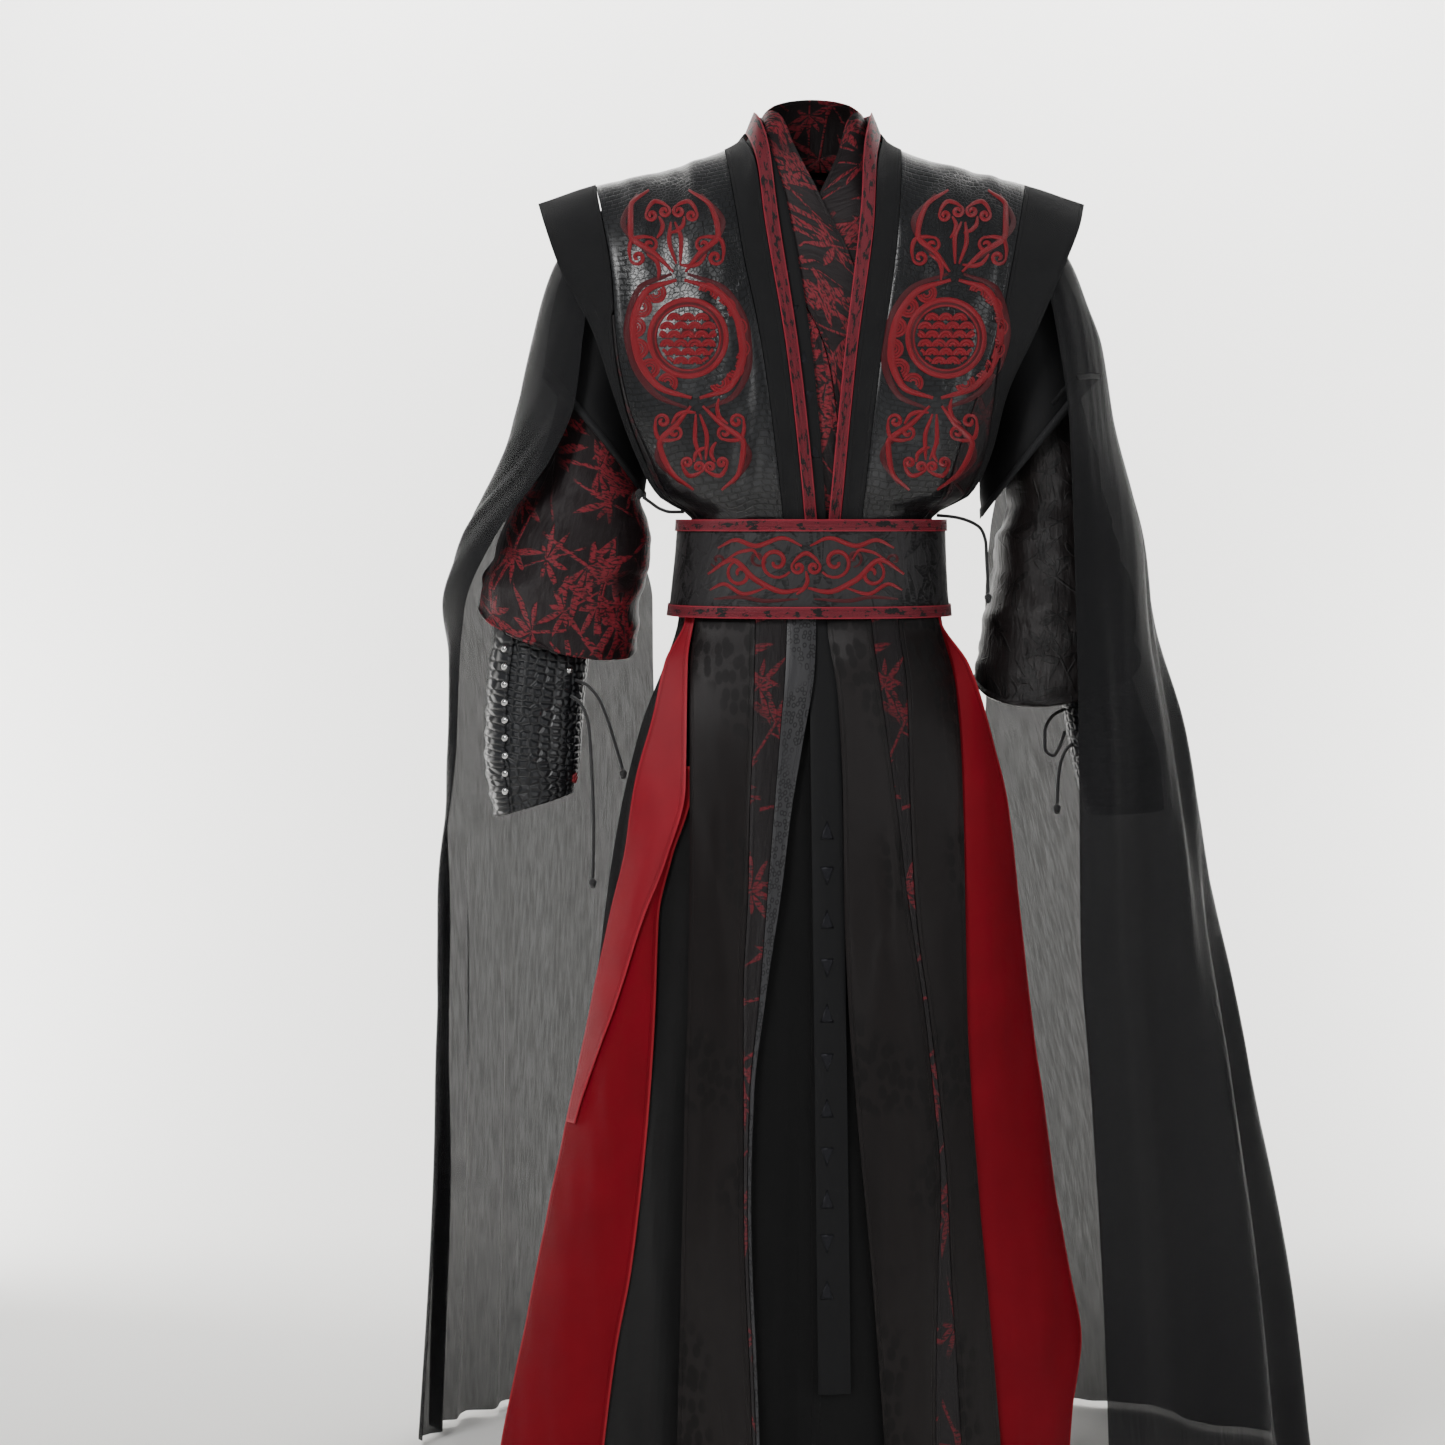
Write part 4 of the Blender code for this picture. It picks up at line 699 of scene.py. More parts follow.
VEST_COLLAR = Table(
    "drop    inner   trim    seam    outer",
    (0.000, 0.0625, 0.0725, 0.0745, 0.0955),
    (0.058, 0.0500, 0.0633, 0.0637, 0.0885),
    (0.118, 0.0440, 0.0585, 0.0585, 0.0815),
    (0.267, 0.0220, 0.0355, 0.0355, 0.0590),
    (0.404, 0.0060, 0.0195, 0.0195, 0.0415),
    (0.436, 0.0030, 0.0165, 0.0165, 0.0380),
)
VEST_NECK = Table(
    "way     inner  inner_drop trim   trim_drop seam  seam_drop outer outer_drop",
    (0.000, 0.0625, -0.0310, 0.0725, -0.0098, 0.0745, -0.0050, 0.0955, 0.0090),
    (0.300, 0.0600, -0.0320, 0.0710, -0.0100, 0.0720, -0.0080, 0.0930, 0.0135),
    (0.650, 0.0380, -0.0340, 0.0460, -0.0110, 0.0460, -0.0110, 0.0600, 0.0095),
    (1.000, 0.0000, -0.0360, 0.0000, -0.0120, 0.0000, -0.0120, 0.0000, 0.0085),
)
GOWN_COLLAR_LEFT = Table(
    "drop    inner   outer",
    (0.000, 0.0585, 0.0910),
    (0.058, 0.0475, 0.0840),
    (0.118, 0.0330, 0.0700),
    (0.267, 0.0085, 0.0450),
    (0.404, -0.0040, 0.0320),
    (0.436, -0.0060, 0.0300),
)
GOWN_COLLAR_RIGHT = Table(
    "drop    inner   outer",
    (0.000, 0.0585, 0.0910),
    (0.058, 0.0520, 0.0880),
    (0.118, 0.0460, 0.0830),
    (0.267, 0.0240, 0.0610),
    (0.404, 0.0080, 0.0450),
    (0.436, 0.0050, 0.0420),
)
GOWN_NECK = Table(
    "way     inner  inner_drop outer outer_drop",
    (0.000, 0.0585, -0.0395, 0.0910, 0.0060),
    (0.300, 0.0560, -0.0400, 0.0880, 0.0170),
    (0.650, 0.0370, -0.0420, 0.0570, 0.0160),
    (1.000, 0.0000, -0.0440, 0.0000, 0.0150),
)
ROBE_COLLAR = Table(
    "drop    inner   outer",
    (0.000, 0.0535, 0.0900),
    (0.030, 0.0340, 0.0840),
    (0.065, 0.0220, 0.0790),
    (0.123, -0.0070, 0.0680),
    (0.158, -0.0300, 0.0520),
    (0.260, -0.0660, -0.0060),
    (0.340, -0.0700, -0.0200),
    (0.436, -0.0720, -0.0380),
)
ROBE_NECK = Table(
    "way     inner  inner_drop outer outer_drop",
    (0.000, 0.0535, -0.0500, 0.0900, 0.0050),
    (0.300, 0.0500, -0.0530, 0.0860, 0.0160),
    (0.650, 0.0340, -0.0570, 0.0560, 0.0150),
    (1.000, 0.0000, -0.0600, 0.0000, 0.0140),
)
MIDDLE = Table("drop middle", (0.0, 0.000), (0.13, 0.004), (0.436, 0.008))


def collar_band(left, right, neck, near, far, left_layer, right_layer):
    """A band up the left front, round behind the neck and down the right front, near edge to far."""
    columns = 2 * (FRONT_ROWS + NECK_COLUMNS)

    def place(u, t):
        step = u * columns
        hand = -1 if step < columns / 2 else 1
        step = min(step, columns - step)
        table = left if hand < 0 else right
        if step <= FRONT_ROWS:
            v = 1 - step / FRONT_ROWS
            drop = at_row(v)
            x = between(table(near, drop), table(far, drop), t)
            layer = left_layer if hand < 0 else right_layer
            layer = mix(left_layer, layer, ramp(drop, *CROSSED_DROPS))
            return on_trunk(hand * x + MIDDLE("middle", drop), v, -1, layer)
        way = (step - FRONT_ROWS) / NECK_COLUMNS
        x = between(neck(near, way), neck(far, way), t)
        drop = between(neck(near + "_drop", way), neck(far + "_drop", way), t)
        return on_neck(hand * x, drop, left_layer)

    return place, columns


EDGE_LEFT = Table(
    "drop    leather side    wing    wing_y",
    (0.000, 0.2340, 0.2360, 0.2970, 0.000),
    (0.045, 0.2260, 0.2280, 0.2880, 0.036),
    (0.115, 0.2150, 0.2170, 0.2700, 0.074),
    (0.200, 0.2090, 0.2120, 0.2340, 0.096),
    (0.275, 0.1960, 0.2000, 0.2110, 0.101),
    (0.337, 0.1740, 0.1800, 0.1890, 0.096),
    (0.380, 0.1560, 0.1600, 0.1670, 0.078),
    (0.405, 0.1240, 0.1270, 0.1300, 0.040),
    (0.436, 0.1180, 0.1210, 0.1240, 0.040),
)
EDGE_RIGHT = Table(
    "drop    leather side    wing    wing_y",
    (0.000, 0.2290, 0.2310, 0.2950, 0.000),
    (0.045, 0.2200, 0.2220, 0.2860, 0.036),
    (0.115, 0.2070, 0.2090, 0.2640, 0.074),
    (0.200, 0.1910, 0.1950, 0.2330, 0.096),
    (0.275, 0.1670, 0.1870, 0.2020, 0.101),
    (0.337, 0.1490, 0.1780, 0.1870, 0.096),
    (0.380, 0.1390, 0.1600, 0.1670, 0.078),
    (0.405, 0.1180, 0.1260, 0.1290, 0.040),
    (0.436, 0.1140, 0.1200, 0.1230, 0.040),
)
SIDE_FIRST_ROW = 5


def vest():
    trim, columns = collar_band(VEST_COLLAR, VEST_COLLAR, VEST_NECK, "inner", "trim", VEST, VEST)
    band, columns = collar_band(VEST_COLLAR, VEST_COLLAR, VEST_NECK, "seam", "outer", VEST, VEST)
    cloth("vest_collar_trim", trim, columns, 1, SATIN)
    cloth("vest_collar", band, columns, 1, SATIN)
    for hand, edges, name in ((-1, EDGE_LEFT, "left"), (1, EDGE_RIGHT, "right")):
        vest_front(hand, edges, name)
        vest_wing(hand, edges, name)

    def side_edge(hand, drop):
        return (EDGE_LEFT if hand < 0 else EDGE_RIGHT)("side", drop) - SEAM

    back = back_panel(VEST_NECK, side_edge, VEST)
    columns = 2 * (NECK_COLUMNS + BACK_COLUMNS)
    cloth("vest_back", back, columns, BACK_ROWS, LEATHER, flip=True)


def back_panel(neck, side_edge, layer, turned=0.0):
    """A back, hung from the collar's lower edge, with columns under each step of the collar."""
    half_columns = NECK_COLUMNS + BACK_COLUMNS

    def point(u, v):
        hand = -1 if u < 0.5 else 1
        step = abs(2 * u - 1) * half_columns
        drop = at_row(v)
        out = max(step - NECK_COLUMNS, 0.0) / BACK_COLUMNS
        way = 1 - min(step / NECK_COLUMNS, 1.0)
        if out > 0:
            edge = side_edge(hand, drop)
            x = mix(neck("outer", 0), edge, math.sin(out * math.pi / 2) if turned else out)
            place = on_trunk(hand * x, v, 1, layer, SHOULDER_GAP)
            turn = turned * ramp(out, *TURNED_COLUMNS) * ramp(drop, *ARMHOLE_TURN)
            return (place[0], place[1] * mix(1.0, SIDE_DEPTH, turn), place[2])
        x = neck("outer", way)
        top = neck("outer_drop", way) + COLLAR_GAP
        top = max(top, SHOULDER("drop", x))
        drop = at_row(v, top + shoulder_top(x, layer) - shoulder_top(x, 0.0))
        depth = trunk_depth(x, drop, 1, layer) * (1 + NECK_TIGHTER * layer * way)
        return (hand * x + LEAN, depth + SHOULDER_GAP, -drop)

    return point


def vest_front(hand, edges, name):
    def place(first, last):
        def point(u, v):
            drop = at_row(v)
            bounds = {
                "collar": VEST_COLLAR("outer", drop) + hand * MIDDLE("middle", drop),
                "leather": edges("leather", drop),
                "side": edges("side", drop),
            }
            x = between(bounds[first], bounds[last], u if hand > 0 else 1 - u)
            return on_trunk(hand * x, v, -1, VEST, SHOULDER_GAP)

        return point

    leather, side = place("collar", "leather"), place("leather", "side")
    cloth(f"vest_front_{name}", leather, 6, FRONT_ROWS, LEATHER)
    first = SIDE_FIRST_ROW / FRONT_ROWS
    rows = FRONT_ROWS - SIDE_FIRST_ROW
    cloth(f"vest_side_{name}", lambda u, v: side(u, mix(first, 1.0, v)), 1, rows, LEATHER)


def vest_wing(hand, edges, name):
    """The stiff band round the armhole, from the front waist over the shoulder to the back waist."""

    def band(u, t):
        step = (u if hand > 0 else 1 - u) * (FRONT_ROWS + BACK_ROWS)
        side = -1 if step < FRONT_ROWS else 1
        v = 1 - step / FRONT_ROWS if side < 0 else (step - FRONT_ROWS) / BACK_ROWS
        drop = at_row(v)
        inner_x = edges("side", drop) + SEAM / 2
        if side < 0 and drop < at_row(SIDE_FIRST_ROW / FRONT_ROWS) - SEAM:
            inner_x = edges("leather", drop) + SEAM / 2
        inner = on_trunk(hand * inner_x, v, side, VEST)
        rise = SHOULDER("drop", edges("wing", 0.0)) * (1 - drop / TUCK) ** 3
        outer = (hand * edges("wing", drop) + LEAN, side * edges("wing_y", drop), -(drop + rise))
        return tuple(mix(a, b, t) for a, b in zip(inner, outer))

    cloth(f"vest_wing_{name}", band, FRONT_ROWS + BACK_ROWS, 3, LEATHER, flip=hand < 0)


def chest_panel(hand, start, layer, side):
    """A panel of the trunk, mostly hidden, from an edge near the middle to the armhole and side."""

    def point(u, v):
        drop = at_row(v)
        chest = TRUNK("chest", drop) + layer - ROBE_UNDER
        side_seam = ramp(drop, *SIDE_SEAM_DROPS)
        end = math.pi / 2 * mix(ARMHOLE_SHARE, SEAM_SHARE, side_seam)
        begin = math.asin(start(drop) / chest)
        angle = mix(begin, end, u if hand > 0 else 1 - u)
        x = chest * math.sin(angle)
        x, y, z = on_trunk(hand * x, v, side, layer, SHOULDER_GAP)
        turn = ramp(abs(angle), *TURNED_ANGLES) * ramp(drop, *ARMHOLE_TURN)
        return (x, y * mix(1.0, SIDE_DEPTH, turn), z)

    return point


def gown_and_robe():
    collar, columns = collar_band(
        GOWN_COLLAR_LEFT, GOWN_COLLAR_RIGHT, GOWN_NECK, "inner", "outer", GOWN, GOWN
    )
    cloth("gown_collar", collar, columns, 2, SHEER)
    collar, columns = collar_band(
        ROBE_COLLAR, ROBE_COLLAR, ROBE_NECK, "inner", "outer", ROBE_OVER, ROBE_UNDER
    )
    cloth("inner_collar", collar, columns, 3, JACQUARD)

    def edge(table, hand):
        return lambda drop: table("outer", drop) + hand * MIDDLE("middle", drop) + SEAM

    for hand, name, gown_edge, layer in (
        (-1, "left", GOWN_COLLAR_LEFT, ROBE_OVER),
        (1, "right", GOWN_COLLAR_RIGHT, ROBE_UNDER),
    ):
        gown = chest_panel(hand, edge(gown_edge, hand), GOWN, -1)
        robe = chest_panel(hand, edge(ROBE_COLLAR, hand), layer, -1)
        cloth(f"gown_front_{name}", gown, 5, FRONT_ROWS, SHEER)
        cloth(f"inner_front_{name}", robe, 6, FRONT_ROWS, JACQUARD)

    def chest_edge(layer):
        def edge(_, drop):
            chest = TRUNK("chest", drop) + layer - ROBE_UNDER
            share = mix(ARMHOLE_SHARE, BACK_SEAM_SHARE, ramp(drop, *SIDE_SEAM_DROPS))
            return chest * math.sin(share * math.pi / 2)

        return edge

    gown = back_panel(GOWN_NECK, chest_edge(GOWN), GOWN, 1.0)
    robe = back_panel(ROBE_NECK, chest_edge(ROBE_UNDER), ROBE_UNDER, 1.0)
    columns = 2 * (NECK_COLUMNS + BACK_COLUMNS)
    cloth("gown_back", gown, columns, BACK_ROWS, SHEER, flip=True)
    cloth("inner_back", robe, columns, BACK_ROWS, JACQUARD, flip=True)


BELT_RING = Table(
    "drop    width   front   back",
    (0.400, 0.1455, 0.1270, 0.1030),
    (0.460, 0.1490, 0.1310, 0.1060),
    (0.512, 0.1540, 0.1360, 0.1100),
)
BELT_COLUMNS = 36
BELT_MIDDLES = (-0.003, -0.005)
PAST_EDGE = 0.0010
TRIM_HEIGHT = 0.0115
TRIM_WALL = 0.0012


def round_ring(table, angle, drop, offset, middle):
    """A point of a flattened ring: 0 is the front, a quarter turn is the wearer's left side at +X."""
    power = 2 / ROUNDNESS
    sine, cosine = math.sin(angle), math.cos(angle)
    x = (table("width", drop) + offset) * math.copysign(abs(sine) ** power, sine)
    depth = table("front" if cosine > 0 else "back", drop) + offset
    return (middle + x, -depth * math.copysign(abs(cosine) ** power, cosine), -drop)


def belt():
    def ring(top, bottom, offset):
        def point(u, v):
            drop = mix(top, bottom, v)
            middle = mix(*BELT_MIDDLES, (drop - BELT_TOP) / (BELT_BOTTOM - BELT_TOP))
            return round_ring(BELT_RING, 2 * math.pi * u, drop, offset, middle)

        return point

    cloth("belt", ring(BELT_TOP, BELT_BOTTOM, 0.0), BELT_COLUMNS, 1, BELT, closed=True)
    proud = SEAM + TRIM_WALL
    top = ring(BELT_TOP - PAST_EDGE, BELT_TOP + TRIM_HEIGHT, proud)
    bottom = ring(BELT_BOTTOM - TRIM_HEIGHT, BELT_BOTTOM + PAST_EDGE, proud)
    cloth("belt_trim_top", top, BELT_COLUMNS, 1, TRIM_WALL, closed=True)
    cloth("belt_trim_bottom", bottom, BELT_COLUMNS, 1, TRIM_WALL, closed=True)


SKIRT = Table(
    "drop    width   front   back",
    (0.475, 0.1452, 0.1262, 0.1022),
    (0.513, 0.1495, 0.1310, 0.1060),
    (0.560, 0.1660, 0.1480, 0.1260),
    (0.637, 0.1960, 0.1680, 0.1500),
    (0.750, 0.2220, 0.1900, 0.1720),
    (0.900, 0.2420, 0.2120, 0.1920),
    (1.050, 0.2600, 0.2300, 0.2100),
    (1.200, 0.2760, 0.2500, 0.2260),
    (1.460, 0.2980, 0.2780, 0.2500),
)
SKIRT_TOP = 0.478
SKIRT_ROWS = 12
SKIRT_MIDDLE = -0.004
WAIST_TIGHTER = 0.5
WAIST_END, FIRST_ROW_GAP = 0.56, 0.003
NEAREST_SIDE = 0.985
RIPPLE_DEEPEST, RIPPLE_LENGTHS = 1.2, (0.8, 1.3)
RIPPLE_WAVES = Table("wave length height start", (0, 0.074, 0.0042, 0.4), (1, 0.041, 0.0020, 1.9))


def ripple(x, drop):
    """Soft folds of the hanging panels, the same in every layer in front."""
    grown = ramp(drop, BELT_BOTTOM, RIPPLE_DEEPEST)
    total = 0.0
    for _, length, height, start in RIPPLE_WAVES.rows:
        total += height * math.sin(2 * math.pi * x / (length * mix(*RIPPLE_LENGTHS, grown)) + start)
    return grown * total


def tighter(offset, drop):
    """Skirt layers lie closer together where they are sewn into the waist."""
    return offset * mix(WAIST_TIGHTER, 1.0, ramp(drop, SKIRT_TOP, WAIST_END))


def on_skirt(x, drop, offset):
    """A point on the skirt's front at a distance x from the middle."""
    offset = tighter(offset, drop)
    width, front = SKIRT("width", drop) + offset, SKIRT("front", drop) + offset
    across = min(abs(x - SKIRT_MIDDLE) / width, NEAREST_SIDE)
    depth = (front + ripple(x, drop)) * (1 - across**ROUNDNESS) ** (1 / ROUNDNESS)
    return (x, -depth, -drop)


LEFT_GROUP = Table(
    "drop    side    seam_a  seam_b  fold",
    (0.478, -0.122, -0.064, -0.031, -0.002),
    (0.513, -0.128, -0.065, -0.032, -0.001),
    (0.562, -0.134, -0.066, -0.034, -0.003),
    (0.634, -0.135, -0.068, -0.040, -0.015),
    (0.705, -0.135, -0.071, -0.046, -0.027),
    (0.790, -0.135, -0.073, -0.053, -0.038),
    (0.900, -0.136, -0.078, -0.062, -0.055),
    (1.000, -0.139, -0.078, -0.0715, -0.067),
    (1.110, -0.141, -0.078, -0.0740, -0.070),
    (1.325, -0.146, -0.070, -0.0660, -0.062),
    (1.455, -0.150, -0.066, -0.0620, -0.058),
)
RIGHT_GROUP = Table(
    "drop    fold    seam_a  seam_b  side",
    (0.478, 0.010, 0.055, 0.084, 0.124),
    (0.513, 0.010, 0.057, 0.086, 0.132),
    (0.587, 0.020, 0.066, 0.094, 0.149),
    (0.693, 0.025, 0.080, 0.096, 0.154),
    (0.806, 0.026, 0.094, 0.101, 0.155),
    (0.910, 0.030, 0.109, 0.114, 0.156),
    (1.000, 0.037, 0.119, 0.125, 0.160),
    (1.099, 0.046, 0.126, 0.133, 0.167),
    (1.181, 0.054, 0.122, 0.136, 0.174),
    (1.332, 0.065, 0.120, 0.145, 0.187),
    (1.455, 0.072, 0.120, 0.150, 0.196),
)
BAND = Table(
    "drop    left    right",
    (0.478, -0.010, 0.022),
    (0.900, -0.006, 0.028),
    (1.300, -0.002, 0.032),
)
RED_LEFT = Table(
    "drop    out_x   out_y   in_x    flap",
    (0.478, -0.1392, -0.058, -0.124, -0.1240),
    (0.513, -0.1400, -0.068, -0.129, -0.1300),
    (0.557, -0.1610, -0.092, -0.130, -0.1365),
    (0.612, -0.1730, -0.108, -0.130, -0.1375),
    (0.686, -0.1920, -0.118, -0.131, -0.1385),
    (0.761, -0.2030, -0.122, -0.152, -0.158),
    (0.823, -0.2170, -0.124, -0.166, -0.182),
    (0.924, -0.2390, -0.126, -0.170, -0.214),
    (1.030, -0.2630, -0.128, -0.177, -0.252),
    (1.183, -0.2940, -0.130, -0.194, -0.288),
    (1.276, -0.3130, -0.132, -0.211, -0.306),
    (1.455, -0.3500, -0.136, -0.233, -0.343),
)
RED_RIGHT = Table(
    "drop    out_x   out_y   in_x",
    (0.478, 0.1312, -0.058, 0.1200),
    (0.513, 0.1345, -0.064, 0.1290),
    (0.561, 0.1640, -0.084, 0.1430),
    (0.627, 0.1850, -0.100, 0.1485),
    (0.710, 0.2050, -0.110, 0.1500),
    (0.792, 0.2140, -0.114, 0.150),
    (0.941, 0.2310, -0.120, 0.151),
    (1.108, 0.2550, -0.126, 0.162),
    (1.214, 0.2730, -0.138, 0.170),
    (1.276, 0.2830, -0.146, 0.176),
    (1.349, 0.2710, -0.164, 0.184),
    (1.455, 0.2630, -0.180, 0.192),
)
BAND_END, FLAP_END = 1.30, 1.045
FLAP_LIFT, FLAP_LIFT_DROPS = 0.0042, (0.49, 0.60)
RED_BULGE, RED_BULGE_DROPS = 0.048, (0.5, 0.8)
GORE_START = 0.665
UNDER_GORES = (
    ("under_front_left", -62, 0, "matte"),
    ("under_front_right", 0, 62, "matte"),
    ("under_side_right", 62, 122, "matte"),
    ("skirt_back_right", 122, 180, "satin"),
    ("skirt_back_left", 180, 238, "satin"),
    ("under_side_left", 238, 298, "matte"),
)
GORE_COLUMNS = 8
SIDE_PLEATS, SIDE_PLEAT_DEPTH = 22, 0.011
PLEATS_DEEPEST, PLEATED_ANGLES = 1.1, (0.9, 1.3)
RIPPLED_ANGLES, RIPPLED_TURN = (0.7, 1.1), 1.5


def skirt_row(v, end=HEM, start=SKIRT_TOP):
    """The drop of a row of the skirt: the first row lies under the belt."""
    under_belt = 1 / SKIRT_ROWS
    if v < under_belt and start == SKIRT_TOP:
        return mix(SKIRT_TOP, BELT_BOTTOM + FIRST_ROW_GAP, v / under_belt)
    if start == SKIRT_TOP:
        return mix(BELT_BOTTOM + FIRST_ROW_GAP, end, (v - under_belt) / (1 - under_belt))
    return mix(start, end, v)


def strip(table, near, far, layer, end=HEM):
    """A hanging panel between two edges of its group."""

    def point(u, v):
        drop = skirt_row(v, end)
        return on_skirt(between(table(near, drop), table(far, drop), u), drop, layer)

    return point


def skirt():
    for name, group, near, far, across, finish in (
        ("skirt_satin_left", LEFT_GROUP, "side", "seam_a", 5, "satin"),
        ("skirt_brocade_left", LEFT_GROUP, "seam_a", "seam_b", 2, "brocade"),
        ("skirt_print_left", LEFT_GROUP, "seam_b", "fold", 2, "print"),
        ("skirt_satin_right_inner", RIGHT_GROUP, "fold", "seam_a", 4, "satin"),
        ("skirt_brocade_right", RIGHT_GROUP, "seam_a", "seam_b", 2, "brocade"),
        ("skirt_satin_right_outer", RIGHT_GROUP, "seam_b", "side", 4, "satin"),
    ):
        cloth(name, strip(group, near, far, SATIN_LAYER), across, SKIRT_ROWS, SATIN)
    band = strip(BAND, "left", "right", BAND_LAYER, end=BAND_END)
    cloth("gown_front_band", band, 2, SKIRT_ROWS, SHEER)

    def red(table, near, far, lift, end=HEM, start=SKIRT_TOP):
        def point(u, v):
            drop = skirt_row(v, end, start)
            x_in, x_out = table("in_x", drop), table("out_x", drop)
            inner = on_skirt(x_in, drop, RED_LAYER)
            first, last = table(near, drop), table(far, drop)
            x = mix(first, last, u)
            t = min(max((x - x_in) / (x_out - x_in), 0.0), 1.0)
            bulge = RED_BULGE * t * (1 - t) * ramp(drop, *RED_BULGE_DROPS)
            y = mix(inner[1], table("out_y", drop), t) - bulge
            return (x, y - lift * ramp(drop, *FLAP_LIFT_DROPS), -drop)

        return point

    left = red(RED_LEFT, "out_x", "in_x", 0.0, HEM, GORE_START)
    cloth("skirt_red_left", left, 4, SKIRT_ROWS, SATIN)
    flap = red(RED_LEFT, "out_x", "flap", FLAP_LIFT, FLAP_END)
    cloth("skirt_red_left_flap", flap, 3, SKIRT_ROWS, SATIN)
    cloth("skirt_red_right", red(RED_RIGHT, "in_x", "out_x", 0.0), 4, SKIRT_ROWS, SATIN)

    for name, start, end, finish in UNDER_GORES:
        cloth(name, gore(start, end), GORE_COLUMNS, SKIRT_ROWS, SATIN)


def gore(start, end):
    """A gore of the black skirt, sewn edge to edge, with even pleats at the sides and back."""

    def point(u, v):
        drop = skirt_row(v)
        angle = math.radians(mix(start, end, u))
        x, y, z = round_ring(SKIRT, angle, drop, tighter(UNDER_LAYER, drop), SKIRT_MIDDLE)
        turn = abs(math.remainder(angle, 2 * math.pi))
        grown = ramp(drop, BELT_BOTTOM, PLEATS_DEEPEST)
        pleats = ramp(turn, *PLEATED_ANGLES) * grown * SIDE_PLEAT_DEPTH
        deep = pleats * (0.5 - 0.5 * math.cos(SIDE_PLEATS * angle))
        in_front = ripple(x, drop) * (1 - ramp(turn, *RIPPLED_ANGLES))
        in_front *= math.cos(min(turn, RIPPLED_TURN))
        return (x - deep * math.sin(angle), y - in_front + deep * math.cos(angle), z)

    return point


def tube(table):
    """A lofted tube round an arm: each ring runs between its left and right points, deep in y."""

    def point(u, v):
        angle = math.pi * (1 - 2 * u)
        end = table.keys[-1]
        at = v * end
        t = 0.5 + 0.5 * math.cos(angle)
        x = mix(table("left_x", at), table("right_x", at), t)
        drop = mix(table("left_drop", at), table("right_drop", at), t)
        drop += table("sag", at) * max(math.sin(angle), 0.0)
        return (x, table("middle_y", at) - table("half_y", at) * math.sin(angle), -drop)

    return point


SLEEVE_LEFT = Table(
    "ring left_x left_drop right_x right_drop middle_y half_y sag",
    (0, -0.1982, 0.0480, -0.1700, 0.2060, 0.000, 0.044, 0.000),
    (1, -0.2480, 0.1400, -0.1800, 0.2560, 0.000, 0.056, 0.000),
    (2, -0.2700, 0.2400, -0.1880, 0.3200, -0.003, 0.062, 0.000),
    (3, -0.2910, 0.3210, -0.1900, 0.3740, -0.006, 0.066, 0.002),
    (4, -0.3340, 0.4080, -0.1760, 0.4300, -0.010, 0.076, 0.004),
    (5, -0.3560, 0.4680, -0.1920, 0.4980, -0.016, 0.081, 0.008),
    (6, -0.3650, 0.5020, -0.1960, 0.5500, -0.020, 0.080, 0.020),
    (7, -0.3550, 0.5040, -0.2060, 0.5480, -0.022, 0.072, 0.018),
    (8, -0.3420, 0.5150, -0.2414, 0.5413, -0.037, 0.0416, 0.000),
)
SLEEVE_RIGHT = Table(
    "ring left_x left_drop right_x right_drop middle_y half_y sag",
    (0, 0.1660, 0.2060, 0.1910, 0.0492, 0.000, 0.044, 0.000),
    (1, 0.1860, 0.2560, 0.2470, 0.1400, 0.000, 0.056, 0.000),
    (2, 0.2050, 0.3200, 0.2800, 0.2400, -0.003, 0.062, 0.000),
    (3, 0.2120, 0.3700, 0.3020, 0.3210, -0.006, 0.068, 0.002),
    (4, 0.2000, 0.4320, 0.3220, 0.4000, -0.010, 0.074, 0.006),
    (5, 0.1880, 0.5050, 0.3420, 0.4750, -0.014, 0.079, 0.012),
    (6, 0.1740, 0.5820, 0.3560, 0.5520, -0.018, 0.078, 0.036),
    (7, 0.1860, 0.5800, 0.3540, 0.5520, -0.018, 0.074, 0.032),
    (8, 0.2545, 0.5531, 0.3320, 0.5365, -0.027, 0.0402, 0.000),
)
CAP_LEFT = Table(
    "ring left_x left_drop right_x right_drop middle_y half_y sag",
    (0, -0.2022, 0.0478, -0.1700, 0.2200, 0.000, 0.052, 0.000),
    (1, -0.2420, 0.0900, -0.1790, 0.2650, 0.000, 0.061, 0.000),
    (2, -0.2760, 0.1600, -0.1840, 0.3200, -0.001, 0.067, 0.000),
    (3, -0.2940, 0.2570, -0.1850, 0.3850, -0.004, 0.074, -0.010),
)
CAP_RIGHT = Table(
    "ring left_x left_drop right_x right_drop middle_y half_y sag",
    (0, 0.1660, 0.2200, 0.1950, 0.0462, 0.000, 0.052, 0.000),
    (1, 0.1760, 0.2750, 0.2400, 0.0900, 0.000, 0.061, 0.000),
    (2, 0.1820, 0.3350, 0.2780, 0.1600, -0.001, 0.067, 0.000),
    (3, 0.1840, 0.4040, 0.3080, 0.2590, -0.004, 0.074, -0.012),
)
BRACER_LEFT = Table(
    "ring left_x left_drop right_x right_drop middle_y half_y sag",
    (0, -0.3370, 0.4900, -0.2400, 0.5200, -0.034, 0.040, 0.000),
    (1, -0.3510, 0.5900, -0.2490, 0.6050, -0.046, 0.043, 0.000),
    (2, -0.3530, 0.6600, -0.2540, 0.6700, -0.058, 0.042, 0.000),
    (3, -0.3430, 0.7250, -0.2600, 0.7000, -0.064, 0.037, 0.000),
)
